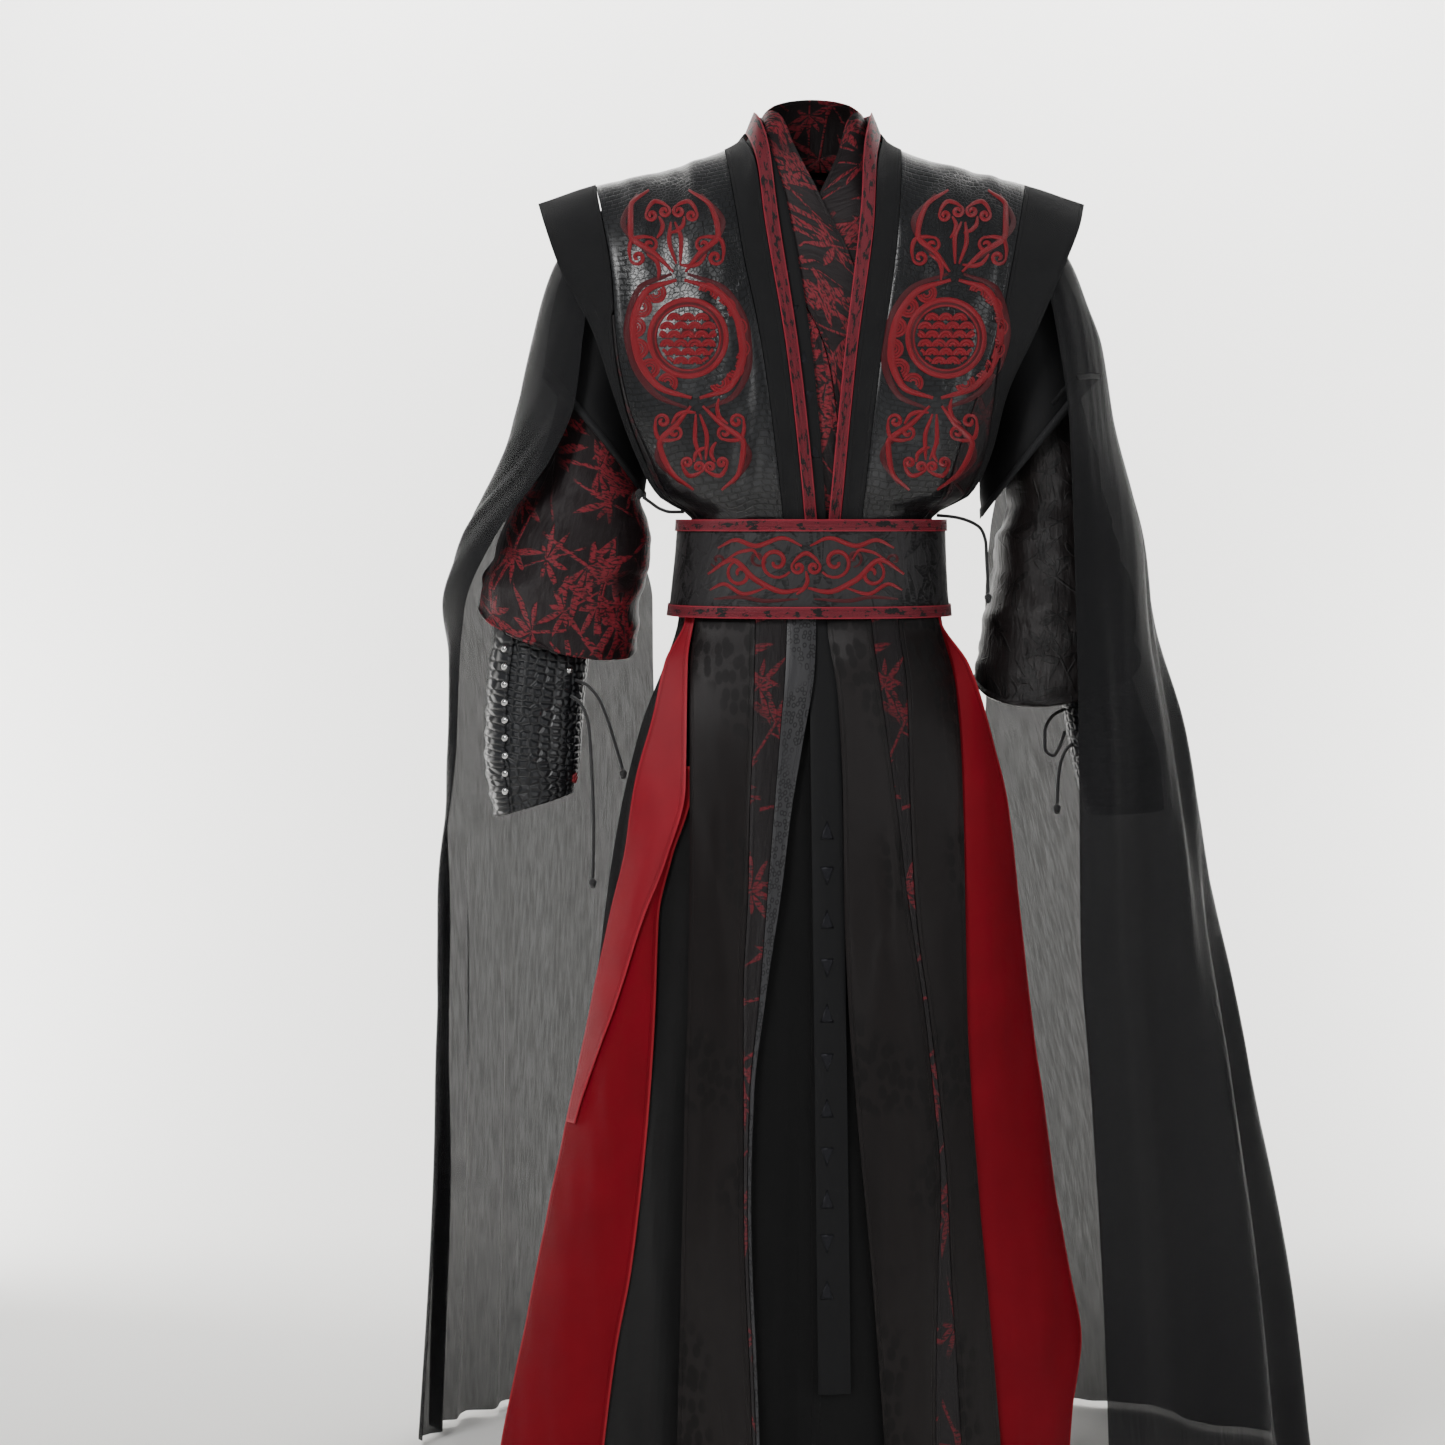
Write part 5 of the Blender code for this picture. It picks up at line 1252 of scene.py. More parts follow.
BRACER_RIGHT = Table(
    "ring left_x left_drop right_x right_drop middle_y half_y sag",
    (0, 0.2500, 0.5300, 0.3200, 0.5050, -0.024, 0.038, 0.000),
    (1, 0.2690, 0.6070, 0.3560, 0.6100, -0.034, 0.042, 0.000),
    (2, 0.2800, 0.6700, 0.3740, 0.6600, -0.040, 0.042, 0.000),
    (3, 0.2960, 0.7260, 0.3800, 0.7200, -0.044, 0.037, 0.000),
)
TUBE_COLUMNS, SLEEVE_ROWS, CAP_ROWS, BRACER_ROWS = 16, 8, 3, 3


def sleeves():
    for name, sleeve, cap, bracer in (
        ("left", SLEEVE_LEFT, CAP_LEFT, BRACER_LEFT),
        ("right", SLEEVE_RIGHT, CAP_RIGHT, BRACER_RIGHT),
    ):
        for piece, table, rows, wall, finish in (
            ("inner_sleeve", sleeve, SLEEVE_ROWS, JACQUARD, "brocade"),
            ("gown_cap", cap, CAP_ROWS, SHEER, "sheer"),
            ("bracer", bracer, BRACER_ROWS, LEATHER, "leather"),
        ):
            cloth(f"{piece}_{name}", tube(table), TUBE_COLUMNS, rows, wall, closed=True)


DRAPE_LEFT = Table(
    "drop    front_x front_y side_x  side_y  back_x  back_y",
    (0.085, -0.2120, -0.051, -0.2418, 0.000, -0.2060, 0.053),
    (0.135, -0.2370, -0.073, -0.2820, 0.008, -0.2040, 0.080),
    (0.217, -0.2480, -0.084, -0.3080, 0.022, -0.2140, 0.089),
    (0.282, -0.2560, -0.090, -0.3240, 0.026, -0.2240, 0.096),
    (0.347, -0.2840, -0.088, -0.3400, 0.026, -0.2140, 0.114),
    (0.427, -0.3430, -0.074, -0.3700, 0.028, -0.1980, 0.134),
    (0.500, -0.3780, -0.030, -0.3800, 0.060, -0.1800, 0.160),
    (0.560, -0.3870, 0.010, -0.3740, 0.100, -0.1800, 0.168),
    (0.655, -0.3920, 0.030, -0.3660, 0.120, -0.1780, 0.180),
    (0.785, -0.4050, 0.040, -0.3680, 0.135, -0.1760, 0.192),
    (0.952, -0.4110, 0.045, -0.3700, 0.145, -0.1800, 0.210),
    (1.187, -0.4190, 0.050, -0.3740, 0.155, -0.1900, 0.235),
    (1.455, -0.4330, 0.055, -0.3820, 0.165, -0.2000, 0.262),
)
DRAPE_RIGHT = Table(
    "drop    front_x front_y side_x  side_y  back_x  back_y",
    (0.085, 0.2100, -0.051, 0.2398, 0.000, 0.2040, 0.053),
    (0.126, 0.2330, -0.070, 0.2750, 0.006, 0.2040, 0.077),
    (0.176, 0.2480, -0.080, 0.2960, 0.014, 0.2070, 0.087),
    (0.217, 0.2560, -0.086, 0.3120, 0.020, 0.2130, 0.091),
    (0.302, 0.2660, -0.104, 0.3270, 0.024, 0.2200, 0.101),
    (0.432, 0.2700, -0.118, 0.3600, 0.018, 0.2060, 0.136),
    (0.530, 0.2720, -0.128, 0.3720, 0.020, 0.2040, 0.158),
    (0.645, 0.2740, -0.138, 0.4000, 0.020, 0.2060, 0.174),
    (0.842, 0.2760, -0.150, 0.4400, 0.020, 0.2080, 0.198),
    (1.012, 0.2880, -0.152, 0.4750, 0.020, 0.2120, 0.214),
    (1.231, 0.3020, -0.154, 0.5140, 0.020, 0.2200, 0.236),
    (1.455, 0.3120, -0.156, 0.5450, 0.020, 0.2300, 0.260),
)
DRAPE_COLUMNS, DRAPE_ROWS = 12, 12
DRAPE_FOLDS, DRAPE_FOLD_DEPTH, DRAPE_FOLD_START = 5, 0.010, 0.6
DRAPE_FOLD_DROPS, DRAPE_SPREAD, AHEAD = (0.3, 1.2), 1.15, 0.01


def drape(table, hand):
    """A long open sleeve of the sheer gown, hung round the outer side of the arm."""

    def section(drop, s):
        """Through the front edge at 0, the outline at a half and the back edge at 1."""
        parts = ((1 - s) * (1 - 2 * s), 4 * s * (1 - s), s * (2 * s - 1))
        names = ("front", "side", "back")
        x = sum(part * table(name + "_x", drop) for part, name in zip(parts, names))
        y = sum(part * table(name + "_y", drop) for part, name in zip(parts, names))
        return x, y

    def point(u, v):
        s = u if hand > 0 else 1 - u
        drop = mix(table.keys[0], HEM, v**DRAPE_SPREAD)
        x, y = section(drop, s)
        ahead_x, ahead_y = section(drop, s + AHEAD)
        length = math.hypot(ahead_x - x, ahead_y - y)
        out_x, out_y = hand * (ahead_y - y) / length, -hand * (ahead_x - x) / length
        wave = math.sin(2 * math.pi * DRAPE_FOLDS * s + DRAPE_FOLD_START)
        fold = DRAPE_FOLD_DEPTH * ramp(drop, *DRAPE_FOLD_DROPS) * wave
        return (x + fold * out_x, y + fold * out_y, -drop)

    return point


def drapes():
    for hand, table, name in ((-1, DRAPE_LEFT, "left"), (1, DRAPE_RIGHT, "right")):
        surface = drape(table, hand)
        cloth(f"gown_drape_{name}", surface, DRAPE_COLUMNS, DRAPE_ROWS, SHEER)


LACE_ROUTES = {
    "lace_left_upper": (
        (-0.2572, -0.0689, 0.5790),
        (-0.2470, -0.0765, 0.5825),
        (-0.2340, -0.0810, 0.5950),
        (-0.2240, -0.0790, 0.6170),
        (-0.2150, -0.0765, 0.6460),
        (-0.2070, -0.0750, 0.6740),
    ),
    "lace_left_lower": (
        (-0.2618, -0.0751, 0.5960),
        (-0.2545, -0.0822, 0.6000),
        (-0.2430, -0.0880, 0.6230),
        (-0.2390, -0.0900, 0.6800),
        (-0.2375, -0.0900, 0.7300),
        (-0.2385, -0.0900, 0.7900),
    ),
    "lace_right_loop": (
        (0.2707, -0.0444, 0.6120),
        (0.2575, -0.0540, 0.6180),
        (0.2480, -0.0600, 0.6350),
        (0.2480, -0.0620, 0.6530),
        (0.2570, -0.0610, 0.6610),
        (0.2650, -0.0570, 0.6500),
        (0.2705, -0.0500, 0.6360),
    ),
    "lace_right_tail": (
        (0.2778, -0.0500, 0.6500),
        (0.2705, -0.0585, 0.6560),
        (0.2645, -0.0660, 0.6690),
        (0.2615, -0.0690, 0.6900),
        (0.2608, -0.0700, 0.7120),
    ),
    "tie_left": (
        (-0.1408, -0.0472, 0.3990),
        (-0.1550, -0.0480, 0.3990),
        (-0.1660, -0.0490, 0.3960),
        (-0.1780, -0.0500, 0.3880),
        (-0.1850, -0.0500, 0.3830),
    ),
    "tie_right": (
        (0.1314, -0.0440, 0.4025),
        (0.1500, -0.0480, 0.4045),
        (0.1660, -0.0500, 0.4090),
        (0.1790, -0.0510, 0.4180),
        (0.1840, -0.0510, 0.4340),
        (0.1848, -0.0510, 0.4520),
        (0.1860, -0.0510, 0.4700),
        (0.1865, -0.0510, 0.4860),
    ),
}
LACE_STEPS = 48
KNOTS = {
    "knot_left_upper": (-0.2062, -0.0748, 0.6798),
    "knot_left_lower": (-0.2386, -0.0900, 0.7957),
    "knot_right_tail": (0.2607, -0.0700, 0.7177),
    "knot_tie_left": (-0.1892, -0.0500, 0.3799),
    "knot_tie_right": (0.1866, -0.0510, 0.4917),
}
KNOT_OWNERS = {
    "knot_left_upper": "lace_left_upper",
    "knot_left_lower": "lace_left_lower",
    "knot_right_tail": "lace_right_tail",
    "knot_tie_left": "tie_left",
    "knot_tie_right": "tie_right",
}
KNOT_WIDTH, KNOT_TALLER = 0.0078, 1.35
KNOT_SLANT, KNOT_SWELL = 9.0, 0.09


def smooth_route(points, steps):
    """Even points along a curve that passes through the route's own points."""
    way = Table("step x y drop", *((i, *point) for i, point in enumerate(points)))
    ends = len(points) - 1
    return [
        (way("x", ends * i / steps), way("y", ends * i / steps), -way("drop", ends * i / steps))
        for i in range(steps + 1)
    ]


PHOTO_SIDE = 1445
FOCUS = LENS / SENSOR * PHOTO_SIDE


def spot(px, py, *names):
    """Where the photograph's place (px, py) meets one of the named pieces, with its outward direction."""
    turn = camera.rotation_euler.to_matrix()
    ray = turn @ Vector((px - PHOTO_SIDE / 2, PHOTO_SIDE / 2 - py, -FOCUS))
    best = None
    for name in names:
        place, normal, _, far = SURFACES[name].ray_cast(Vector(EYE), ray.normalized())
        if place is not None and (best is None or far < best[2]):
            best = (place, normal if normal.dot(ray) < 0 else -normal, far)
    return best


def flat_mesh(name, points, faces, flats):
    """A mesh with each point's place on the flat cloth."""
    mesh = bpy.data.meshes.new(name)
    mesh.from_pydata(points, [], faces)
    flat = mesh.uv_layers.new(name="cloth")
    for loop, corner in zip(mesh.loops, flat.data):
        corner.uv = flats[loop.vertex_index]
    return mesh


STROKE_PROFILE = ((-1.0, 0.0), (-0.6, 0.75), (0.0, 1.0), (0.6, 0.75), (1.0, 0.0))
STROKE_LIFT, FULL_STROKE, PIXEL = 0.0002, 2.5, 0.0011


def raised(name, strokes, look, names, height):
    """Satin-stitched strokes on a surface, each a list of (px, py, half width in px), domed across."""
    wide = len(STROKE_PROFILE)
    points, faces, flats = [], [], []
    for stroke in strokes:
        rows, way = [], 0.0
        for i, (px, py, half) in enumerate(stroke):
            before, after = stroke[max(i - 1, 0)], stroke[min(i + 1, len(stroke) - 1)]
            along = Vector((after[0] - before[0], after[1] - before[1]))
            if along.length < 1e-6:
                continue
            side = Vector((-along.y, along.x)).normalized() * half
            row = []
            for across, high in STROKE_PROFILE:
                hit = spot(px + side.x * across, py + side.y * across, *names)
                if hit is None:
                    break
                lift = STROKE_LIFT + height * high * min(half / FULL_STROKE, 1.0)
                row.append(hit[0] + hit[1] * lift)
            if len(row) < wide:
                continue
            if rows:
                way += (row[2] - rows[-1][0][2]).length
            rows.append((row, way, half))
        if len(rows) < 2:
            continue
        first = len(points)
        for row, far, half in rows:
            points += row
            flats += [(far, across * half * PIXEL) for across, _ in STROKE_PROFILE]
        for i in range(len(rows) - 1):
            for j in range(wide - 1):
                a = first + i * wide + j
                faces.append((a, a + 1, a + wide + 1, a + wide))
    mesh = flat_mesh(name, points, faces, flats)
    mesh.validate()
    show(name, mesh, look)


STROKE_END, FULLNESS = 0.25, 0.6


def taper(points, width):
    """A stroke through the points, wide in the middle and pointed at its ends."""
    way = Table("step x y", *((i, *point) for i, point in enumerate(points)))
    last = len(points) - 1
    steps = max(last * 6, 8)
    stroke = []
    for i in range(steps + 1):
        t = i / steps
        full = math.sin(math.pi * min(max(t, 0.02), 0.98)) ** FULLNESS
        half = width / 2 * (STROKE_END + (1 - STROKE_END) * full)
        stroke.append((way("x", t * last), way("y", t * last), half))
    return stroke


def scroll(x, y, radius, turns, start, hand, width):
    """A spiral stroke that ends at its outer end."""
    steps = int(14 * turns) + 6
    stroke = []
    for i in range(steps + 1):
        t = i / steps
        angle = start + hand * 2 * math.pi * turns * t
        far = radius * (0.14 + 0.86 * t)
        half = width / 2 * (0.45 + 0.55 * math.sin(math.pi * (0.15 + 0.8 * t)))
        stroke.append((x + far * math.cos(angle), y + far * math.sin(angle), half))
    return stroke


def cloud(x, y, size, turn, width):
    """A cloud head of two opposed scrolls under a lobe, with a short tail, turned by an angle."""
    strokes = [
        scroll(-0.52, 0.10, 0.46, 1.25, 2.4, 1, 1.0),
        scroll(0.52, 0.10, 0.46, 1.25, 0.7, -1, 1.0),
        taper([(-0.95, -0.05), (-0.55, -0.55), (0.0, -0.85), (0.55, -0.55), (0.95, -0.05)], 1.0),
        taper([(0.0, 0.35), (0.10, 0.95), (-0.15, 1.5), (-0.65, 1.9)], 1.0),
    ]
    sine, cosine = math.sin(turn), math.cos(turn)
    return [
        [
            (x + size * (cosine * a - sine * b), y + size * (sine * a + cosine * b), half * width)
            for a, b, half in stroke
        ]
        for stroke in strokes
    ]


def wave_scales(x, y, radius, rows, width):
    """Rows of overlapping wave arcs, two to a scale, kept inside a round field."""
    strokes = []
    step = radius / rows
    for row in range(-rows + 1, rows + 1):
        for column in range(-rows, rows + 1):
            middle_x = x + step * (1.36 * column + 0.68 * (row % 2))
            middle_y = y + step * 0.86 * row
            for share in (0.62, 0.30):
                arc = []
                for i in range(9):
                    angle = math.pi * (1 + i / 8)
                    a = middle_x + step * share * math.cos(angle)
                    b = middle_y + step * share * math.sin(angle)
                    if math.hypot(a - x, b - y) < radius * 0.97:
                        arc.append((a, b, width / 2))
                if len(arc) > 3:
                    strokes.append(arc)
    return strokes


def ring(x, y, radius, width, start=0.0, end=1.0):
    steps = int(40 * (end - start)) + 4
    angles = [2 * math.pi * mix(start, end, i / steps) for i in range(steps + 1)]
    return [(x + radius * math.cos(a), y + radius * math.sin(a), width / 2) for a in angles]


def wave_roundel(x, y, radius):
    """Rows of wave scales inside two rims."""
    rims = [ring(x, y, radius, 5.6), ring(x, y, radius * 0.86, 2.6)]
    return rims + wave_scales(x, y, radius * 0.80, SCALE_ROWS, 3.4)


def wave_fan(x, y, turn):
    """A fan of three arcs, like a small breaking wave, turned by degrees."""
    strokes = []
    for share in (1.0, 0.68, 0.36):
        far = FAN * share
        half = FAN_STROKE / 2 * (0.6 + 0.4 * share)
        angles = [math.radians(turn) + math.pi * mix(*FAN_SPREAD, i / 10) for i in range(11)]
        strokes.append([(x + far * math.cos(a), y + far * math.sin(a), half) for a in angles])
    return strokes


FRONT_DESIGNS = Table("front middle lean", (-1, 688, 0.13), (1, 946, -0.15))
DESIGN_Y, ROUNDEL, SCALE_ROWS, WREATH = 338, 38, 3, 52
FAN, FAN_STROKE, FAN_SPREAD, FAN_TURNS = 9.0, 2.8, (0.92, 2.08), range(-60, 61, 24)
CLOUD_STROKE, RIBBON = 4.4, 10.0
THREAD_HIGH, DEEP_HIGH, BELT_DEEP_HIGH = 0.0013, 0.0006, 0.0007
ROUNDEL_CLOUDS = ((34, -88, 17, 0.8), (14, -126, 13, 0.3), (32, 90, 16, 2.4), (12, 128, 12, 2.8))
RIBBONS = (
    ([(4, -58), (34, -48), (53, -14), (53, 16), (34, 50), (4, 60)], 0.8),
    ([(6, -66), (22, -84), (44, -104), (40, -132), (20, -148)], 0.6),
    ([(6, 68), (22, 86), (42, 106), (34, 134), (14, 152)], 0.6),
    ([(2, -74), (6, -98), (2, -116)], 0.45),
    ([(2, 76), (6, 100), (2, 122)], 0.45),
)
DEEP_RIBBONS = (
    ([(8, -64), (42, -50), (60, -8), (58, 24), (38, 58), (10, 70)], 0.7),
    ([(12, -74), (34, -92), (50, -116), (32, -144)], 0.6),
    ([(12, 76), (32, 94), (46, 118), (26, 146)], 0.6),
)


def front_design(front, name, owners):
    """A wave roundel in a wreath of ribbons and wave fans, clouds above and below, its sides alike."""
    middle, lean = FRONT_DESIGNS("middle", front), FRONT_DESIGNS("lean", front)

    def at(dx, dy):
        return middle + dx + lean * dy, DESIGN_Y + dy

    def ribbons(paths, hand):
        return [taper([at(hand * dx, dy) for dx, dy in path], RIBBON * share) for path, share in paths]

    reds = wave_roundel(*at(0, 0), ROUNDEL)
    deeps = [ring(*at(0, 0), ROUNDEL - 4, 6.0), ring(*at(0, 0), 7, 5.0)]
    for hand in (-1, 1):
        for dx, dy, size, turn in ROUNDEL_CLOUDS:
            reds += cloud(*at(hand * dx, dy), size, hand * turn, CLOUD_STROKE)
        reds += ribbons(RIBBONS, hand)
        deeps += ribbons(DEEP_RIBBONS, hand)
        for degrees in FAN_TURNS:
            turn = math.radians(degrees)
            place = at(hand * WREATH * math.cos(turn), WREATH * math.sin(turn))
            reds += wave_fan(*place, 90 + hand * degrees)
    raised(f"embroidery_{name}_crimson", reds, "thread", owners, THREAD_HIGH)
    raised(f"embroidery_{name}_deep", deeps, "thread_deep", owners, DEEP_HIGH)


BELT_MIDDLE = 806
BELT_CLOUD = (566, 15, 0.0)
BELT_SCROLLS = (
    # across, y, radius, turns, start on the right, start on the left, way, width
    (30, 562, 17, 1.4, 0.0, math.pi, 1, 4.4),
    (66, 574, 14, 1.3, 0.4, 2.7, -1, 4.0),
)
BELT_DEEP_SCROLLS = (
    (48, 558, 9, 1.1, 1.0, 1.0, 1, 3.4),
    (88, 560, 8, 1.1, 2.0, 2.0, -1, 3.0),
)
BELT_STEMS = (
    (((2, 588), (22, 592), (50, 580), (74, 560), (98, 574)), 5.6),
    (((4, 546), (24, 538), (50, 546), (70, 540), (88, 548)), 4.6),
    (((40, 588), (62, 594), (82, 584), (96, 590)), 4.0),
    (((46, 560), (54, 550), (66, 552), (80, 560)), 3.4),
)
BELT_DEEP_STEMS = ((((8, 599), (40, 601), (66, 597), (92, 599)), 4.0),)


def belt_design():
    """Scrolls and stems, alike on both sides of a cloud head in the middle."""

    def scrolls(rows, hand):
        strokes = []
        for across, y, radius, turns, right, left, way, width in rows:
            x, start = BELT_MIDDLE + hand * across, right if hand > 0 else left
            strokes.append(scroll(x, y, radius, turns, start, hand * way, width))
        return strokes

    def stems(rows, hand):
        return [taper([(BELT_MIDDLE + hand * a, b) for a, b in path], width) for path, width in rows]

    reds, deeps = [], []
    for hand in (-1, 1):
        reds += scrolls(BELT_SCROLLS, hand) + stems(BELT_STEMS, hand)
        deeps += stems(BELT_DEEP_STEMS, hand) + scrolls(BELT_DEEP_SCROLLS, hand)
    reds += cloud(BELT_MIDDLE, *BELT_CLOUD, CLOUD_STROKE)
    raised("embroidery_belt_crimson", reds, "thread", ("belt",), THREAD_HIGH)
    raised("embroidery_belt_deep", deeps, "thread_deep", ("belt",), BELT_DEEP_HIGH)


def embroidery():
    """Generic designs in crimson and darker thread on both vest fronts and the belt."""
    front_design(-1, "left", ("vest_front_left", "vest_collar", "vest_wing_left"))
    front_design(1, "right", ("vest_front_right", "vest_collar", "vest_wing_right", "vest_side_right"))
    belt_design()


def place_at(x, y, z):
    """The photograph's place of a point."""
    turn = camera.rotation_euler.to_matrix().inverted()
    seen = turn @ (Vector((x, y, z)) - Vector(EYE))
    return PHOTO_SIDE / 2 - seen.x * FOCUS / seen.z, PHOTO_SIDE / 2 + seen.y * FOCUS / seen.z


def stud(name, hit, build, look):
    """A small hard piece made round its own origin, +Z outward, set on a surface."""
    made = bmesh.new()
    build(made)
    mesh = bpy.data.meshes.new(name)
    made.to_mesh(mesh)
    made.free()
    outward = hit[1].to_track_quat("Z", "Y").to_matrix().to_4x4()
    mesh.transform(Matrix.Translation(hit[0]) @ outward)
    show(name, mesh, look)


def join_rings(made, rings):
    """Walls between closed rings of the same number of points."""
    for lower, upper in zip(rings, rings[1:]):
        for i in range(len(lower)):
            k = (i + 1) % len(lower)
            made.faces.new((lower[i], lower[k], upper[k], upper[i]))
    made.faces.new(rings[-1])


TURNED_SIDES = 20


def lathed(profile):
    """A builder of a turned form from (radius, height) pairs."""

    def build(made):
        angles = [2 * math.pi * i / TURNED_SIDES for i in range(TURNED_SIDES)]
        rings = []
        for radius, height in profile:
            places = [(radius * math.cos(a), radius * math.sin(a), height) for a in angles]
            rings.append([made.verts.new(place) for place in places])
        join_rings(made, rings)
        made.faces.new(rings[0][::-1])

    return build


TRIANGLE_HIGH = 0.0016
TRIANGLE_RINGS = (
    (1.0, -0.0004),
    (1.0, 0.45 * TRIANGLE_HIGH),
    (0.72, TRIANGLE_HIGH),
    (0.30, 0.75 * TRIANGLE_HIGH),
)
TIP_SHIFT = 0.12


def triangle(half_wide, half_tall, upward):
    """A builder of a small metal triangle with a bevelled rim and a sunken middle."""

    def build(made):
        tip = half_tall if upward else -half_tall
        corners = ((-half_wide, -tip), (half_wide, -tip), (0.0, tip))
        rings = []
        for share, lift in TRIANGLE_RINGS:
            shift = tip * TIP_SHIFT * (1 - share)
            rings.append([made.verts.new((x * share, y * share - shift, lift)) for x, y in corners])
        join_rings(made, rings)
        bmesh.ops.recalc_face_normals(made, faces=made.faces)

    return build


BINDING_START, BINDING_LIFT, BINDING_GAP, BINDING_SIDES = 0.955, 0.0012, 0.0022, 96
BINDING_PROFILE = ((BINDING_START, 0.3), (BINDING_START, 1.0), (1.0, 1.0), (1.0, -0.4))


def binding(name, table):
    """The bound lower edge of a cap sleeve: a narrow band round it, turned over the edge."""
    place = tube(table)
    middle = Vector(place(0.25, 1.0)) * 0.5 + Vector(place(0.75, 1.0)) * 0.5
    points, faces = [], []
    for i in range(BINDING_SIDES):
        for v, out in BINDING_PROFILE:
            at = Vector(place(i / BINDING_SIDES, v))
            points.append(at + (at - middle).normalized() * (BINDING_LIFT * out + BINDING_GAP))
    rows = len(BINDING_PROFILE)
    for i in range(BINDING_SIDES):
        for j in range(rows - 1):
            a, b = i * rows + j, ((i + 1) % BINDING_SIDES) * rows + j
            faces.append((a, a + 1, b + 1, b))
    mesh = bpy.data.meshes.new(name)
    mesh.from_pydata(points, [], faces)
    show(name, mesh, "matte")


PLATE_ROWS, PLATE_COLUMNS = 60, 14
PLATE_DOWN, PLATE_ACROSS = (0.03, 1.02), (-0.055, 0.155)
PLATE_LIFT, PLATE_WALL = 0.0016, 0.0012
PLATE_TEETH, TOOTH_DEPTH, TOOTHED = 9.0, 0.010, (-0.03, 0.05)
PLATE_WIDE, PLATE_TALL = 0.25, 0.22


def stepped_plate():
    """A second plate of scale leather on the left bracer's outer half, its edge cut in pointed steps."""
    place = tube(BRACER_LEFT)
    points, faces, flats = [], [], []
    for i in range(PLATE_ROWS + 1):
        v = mix(*PLATE_DOWN, i / PLATE_ROWS)
        left, right = Vector(place(0.0, min(v, 1.0))), Vector(place(0.5, min(v, 1.0)))
        centre = (left + right) / 2
        for j in range(PLATE_COLUMNS + 1):
            u = mix(*PLATE_ACROSS, j / PLATE_COLUMNS)
            at = Vector(place(u % 1.0, min(v, 1.0)))
            out = (at - centre).normalized()
            tooth = abs(((v * PLATE_TEETH) % 1.0) - 0.5) * TOOTH_DEPTH * ramp(-u, *TOOTHED)
            points.append(at + out * (PLATE_LIFT + tooth))
            flats.append((u * PLATE_WIDE, -v * PLATE_TALL))
    for i in range(PLATE_ROWS):
        for j in range(PLATE_COLUMNS):
            a = i * (PLATE_COLUMNS + 1) + j
            below = a + PLATE_COLUMNS + 1
            faces.append((a, below, below + 1, a + 1))
    mesh = flat_mesh("bracer_plate", points, faces, flats)
    SURFACES["bracer_plate"] = BVHTree.FromPolygons(points, faces)
    piece = show("bracer_plate", mesh, "plates")
    shell = piece.modifiers.new("wall", "SOLIDIFY")
    shell.thickness = PLATE_WALL
    shell.offset = 0.0


PETALS, PETAL, PETAL_FLATNESS, PETAL_OUT = 5, 0.0026, 0.6, 0.0036
CORE_RAISED, FLORET_RAISED = 0.0010, 0.0012


def floret(made):
    """A five-petalled knot of red thread round a small core."""
    for petal in range(PETALS + 1):
        ball = bmesh.ops.create_uvsphere(made, u_segments=14, v_segments=9, radius=PETAL)
        angle = 2 * math.pi * petal / PETALS
        for vert in ball["verts"]:
            vert.co.z *= PETAL_FLATNESS
            if petal < PETALS:
                vert.co.x += PETAL_OUT * math.cos(angle)
                vert.co.y += PETAL_OUT * math.sin(angle)
            else:
                vert.co.z += CORE_RAISED
            vert.co.z += FLORET_RAISED


DOME = lathed((
    (0.0041, -0.0004),
    (0.0041, 0.0003),
    (0.0036, 0.0013),
    (0.0026, 0.0021),
    (0.0013, 0.0026),
    (0.0003, 0.0027),
))
EYELET = lathed((
    (0.0034, -0.0003),
    (0.0034, 0.0005),
    (0.0029, 0.0010),
    (0.0021, 0.0009),
    (0.0017, 0.0003),
    (0.0016, -0.0002),
))
RIVETS, RIVET_PITCH, FIRST_RIVET = 9, 0.019, (-0.331, -0.1, -0.544)
LAST_RIVET = (-0.263, -0.08, -0.568)
EYELET_X, EYELET_Y, EYELET_HEIGHTS = -0.266, -0.08, (-0.585, -0.613, -0.6435, -0.673)
FLORET = (-0.2585, -0.085, -0.683)
RIGHT_RIVET, RIGHT_EYELET = (0.286, -0.06, -0.600), (0.290, -0.06, -0.618)
STRAP = ((1052, 404, 2.6), (1064, 390, 2.6), (1078, 378, 2.6), (1090, 376, 2.6), (1099, 377, 2.4))
STRAP_HIGH = 0.0012
LAPEL_TRIANGLES = ((786, 266), (794, 312), (804, 357), (809, 398), (815, 451))
BAND_X = 827
BAND_TRIANGLES = (830, 876, 919, 968, 1013, 1063, 1108, 1157, 1199, 1244, 1290)
LAPEL_TRIANGLE, BAND_TRIANGLE = (0.0055, 0.0075), (0.0068, 0.0095)


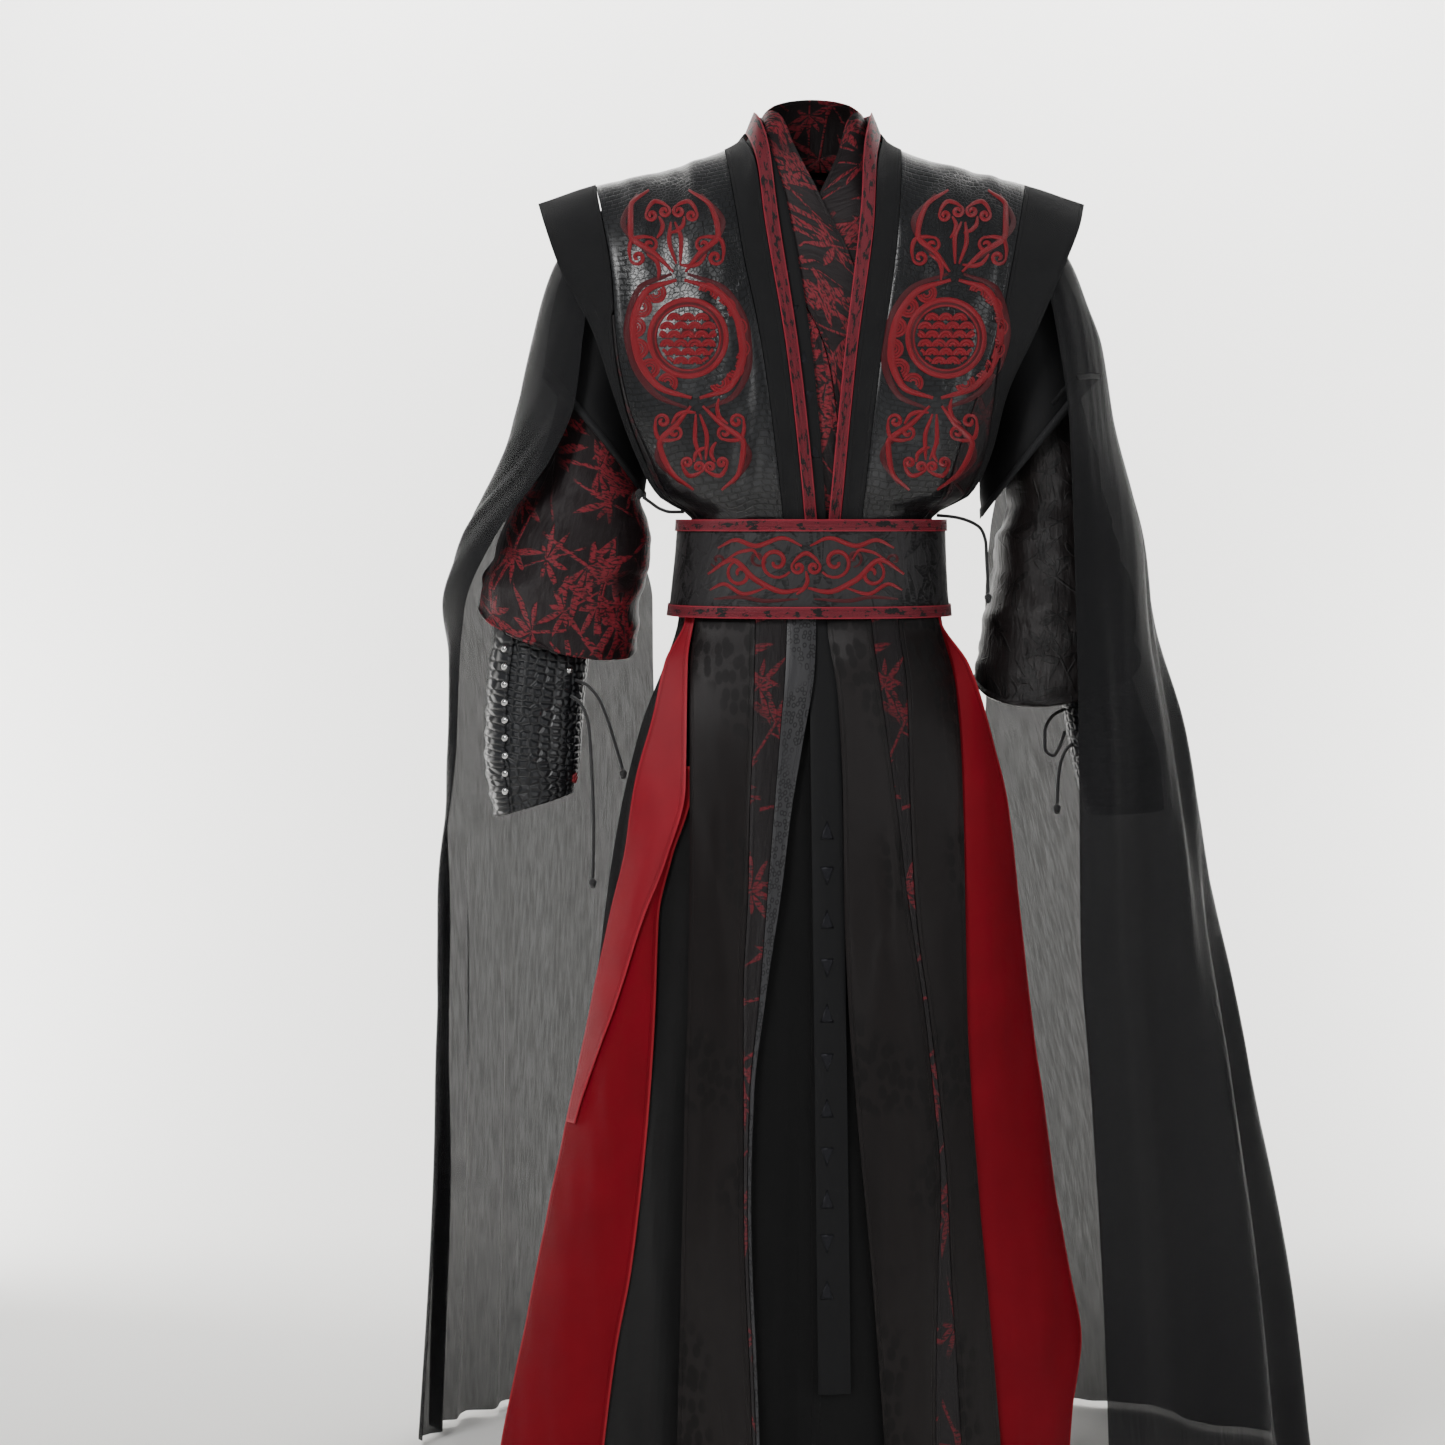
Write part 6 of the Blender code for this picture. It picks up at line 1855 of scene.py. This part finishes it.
def fittings():
    binding("cap_binding_left", CAP_LEFT)
    binding("cap_binding_right", CAP_RIGHT)
    stepped_plate()
    x, y, top = FIRST_RIVET
    for i in range(RIVETS):
        hit = spot(*place_at(x, y, top - RIVET_PITCH * i), "bracer_plate", "bracer_left")
        stud(f"rivet_left_{i + 1}", hit, DOME, "silver")
    stud("rivet_left_10", spot(*place_at(*LAST_RIVET), "bracer_left"), DOME, "silver")
    for i, z in enumerate(EYELET_HEIGHTS):
        hit = spot(*place_at(EYELET_X, EYELET_Y, z), "bracer_left")
        stud(f"eyelet_left_{i + 1}", hit, EYELET, "pewter")
    stud("floret_left", spot(*place_at(*FLORET), "bracer_left"), floret, "thread")
    caps = ("gown_cap_right", "gown_drape_right")
    raised("cap_strap_right", [STRAP], "matte", caps, STRAP_HIGH)
    stud("rivet_right", spot(*place_at(*RIGHT_RIVET), "bracer_right"), DOME, "brass")
    stud("eyelet_right", spot(*place_at(*RIGHT_EYELET), "bracer_right"), EYELET, "pewter")
    band = [(BAND_X, py) for py in BAND_TRIANGLES]
    for kind, places, owner, size in (
        ("lapel", LAPEL_TRIANGLES, "gown_collar", LAPEL_TRIANGLE),
        ("band", band, "gown_front_band", BAND_TRIANGLE),
    ):
        for i, (px, py) in enumerate(places):
            form = triangle(*size, i % 2 == 0)
            stud(f"{kind}_triangle_{i + 1}", spot(px, py, owner), form, "pewter")


def cords():
    for name, route in LACE_ROUTES.items():
        curve = bpy.data.curves.new(name + "_cord", "CURVE")
        curve.dimensions = "3D"
        curve.bevel_depth = LACE / 2
        curve.bevel_resolution = 4
        curve.use_fill_caps = True
        places = smooth_route(route, LACE_STEPS)
        spline = curve.splines.new("POLY")
        spline.points.add(len(places) - 1)
        for point, place in zip(spline.points, places):
            point.co = (*place, 1.0)
        piece = show(name + "_cord", curve, "cord")
        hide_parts(name)
        knots = [dress_knot(knot) for knot, owner in KNOT_OWNERS.items() if owner == name]


def dress_knot(name):
    """A small upright knot: a ball with two slanted swells round it, like turns of the cord."""
    x, y, drop = KNOTS[name]
    made = bmesh.new()
    bmesh.ops.create_uvsphere(made, u_segments=28, v_segments=18, radius=KNOT_WIDTH / 2)
    for vert in made.verts:
        angle = math.atan2(vert.co.y, vert.co.x)
        turn = math.sin(2 * angle + vert.co.z / KNOT_WIDTH * KNOT_SLANT)
        vert.co *= 1.0 + KNOT_SWELL * turn
        vert.co.z *= KNOT_TALLER
    mesh = bpy.data.meshes.new(name + "_turns")
    made.to_mesh(mesh)
    made.free()
    mesh.transform(Matrix.Translation((x, y, -drop)))
    piece = show(name + "_turns", mesh, "cord")
    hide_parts(name)
    return piece


FLOOR, FLOOR_FRONT, FLOOR_BACK, FLOOR_HALF_WIDTH = -HEM - 0.007, -4.0, 1.0, 5.0
BEND, BEND_START, BEND_STEPS = 0.8, 0.15, 9
WALL_TOP = 2.6
SKY, SKY_STRENGTH = (0.95, 0.97, 1.0, 1.0), 0.36
LAMPS = (
    # name, place, aim, size, watts
    ("key", (-1.9, -2.3, 1.5), (-0.05, 0.0, -0.7), 1.3, 84.0),
    ("fill", (2.3, -2.2, 0.3), (0.0, 0.0, -0.7), 1.6, 24.0),
    ("low", (0.2, -3.2, -1.2), (0.0, 0.0, -1.0), 1.6, 9.0),
    ("wall_left", (-0.9, 0.70, 1.1), (-0.9, 1.8, 0.80), 1.3, 70.0),
    ("wall_right", (0.9, 0.70, 1.1), (0.9, 1.8, 0.80), 1.3, 70.0),
    ("low_left", (-1.9, 0.85, -0.9), (-1.6, 1.8, -0.9), 1.3, 46.0),
    ("low_right", (1.9, 0.85, -0.9), (1.6, 1.8, -0.9), 1.3, 46.0),
)


def studio():
    """A pale floor that sweeps up into a pale wall, and soft lamps."""
    n = Nodes("studio_paper")
    seen_side = n.math("SUBTRACT", 1.0, n.put("NewGeometry", out="Backfacing"))
    n.join(seen_side, n.shader.inputs["Alpha"])
    paper = n.done((0.87, 0.86, 0.835), 0.9, n.bump(n.noise(n.place, 60.0), 0.0002))
    profile = [(FLOOR_FRONT, FLOOR), (FLOOR_BACK, FLOOR)]
    for i in range(BEND_STEPS + 1):
        a = mix(BEND_START, math.pi / 2, i / BEND_STEPS)
        profile.append((FLOOR_BACK + BEND * math.sin(a), FLOOR + BEND * (1.0 - math.cos(a))))
    profile.append((FLOOR_BACK + BEND, WALL_TOP))
    points = [(x, y, z) for y, z in profile for x in (-FLOOR_HALF_WIDTH, FLOOR_HALF_WIDTH)]
    faces = [(2 * i, 2 * i + 1, 2 * i + 3, 2 * i + 2) for i in range(len(profile) - 1)]
    mesh = bpy.data.meshes.new("studio_sweep")
    mesh.from_pydata(points, [], faces)
    mesh.shade_smooth()
    mesh.materials.append(paper)
    sweep = bpy.data.objects.new("studio_sweep", mesh)
    bpy.context.scene.collection.objects.link(sweep)
    world = bpy.data.worlds.new("studio")
    world.use_nodes = True
    sky = world.node_tree.nodes["Background"]
    sky.inputs["Color"].default_value = SKY
    sky.inputs["Strength"].default_value = SKY_STRENGTH
    bpy.context.scene.world = world
    for name, place, aim, size, watts in LAMPS:
        lamp = bpy.data.lights.new(name, "AREA")
        lamp.shape = "DISK"
        lamp.size = size
        lamp.energy = watts
        lamp_object = bpy.data.objects.new(name, lamp)
        lamp_object.location = place
        towards = Vector(aim) - Vector(place)
        lamp_object.rotation_euler = towards.to_track_quat("-Z", "Y").to_euler()
        bpy.context.scene.collection.objects.link(lamp_object)


cords()
vest()
gown_and_robe()
belt()
skirt()
sleeves()
drapes()
fittings()
embroidery()
studio()
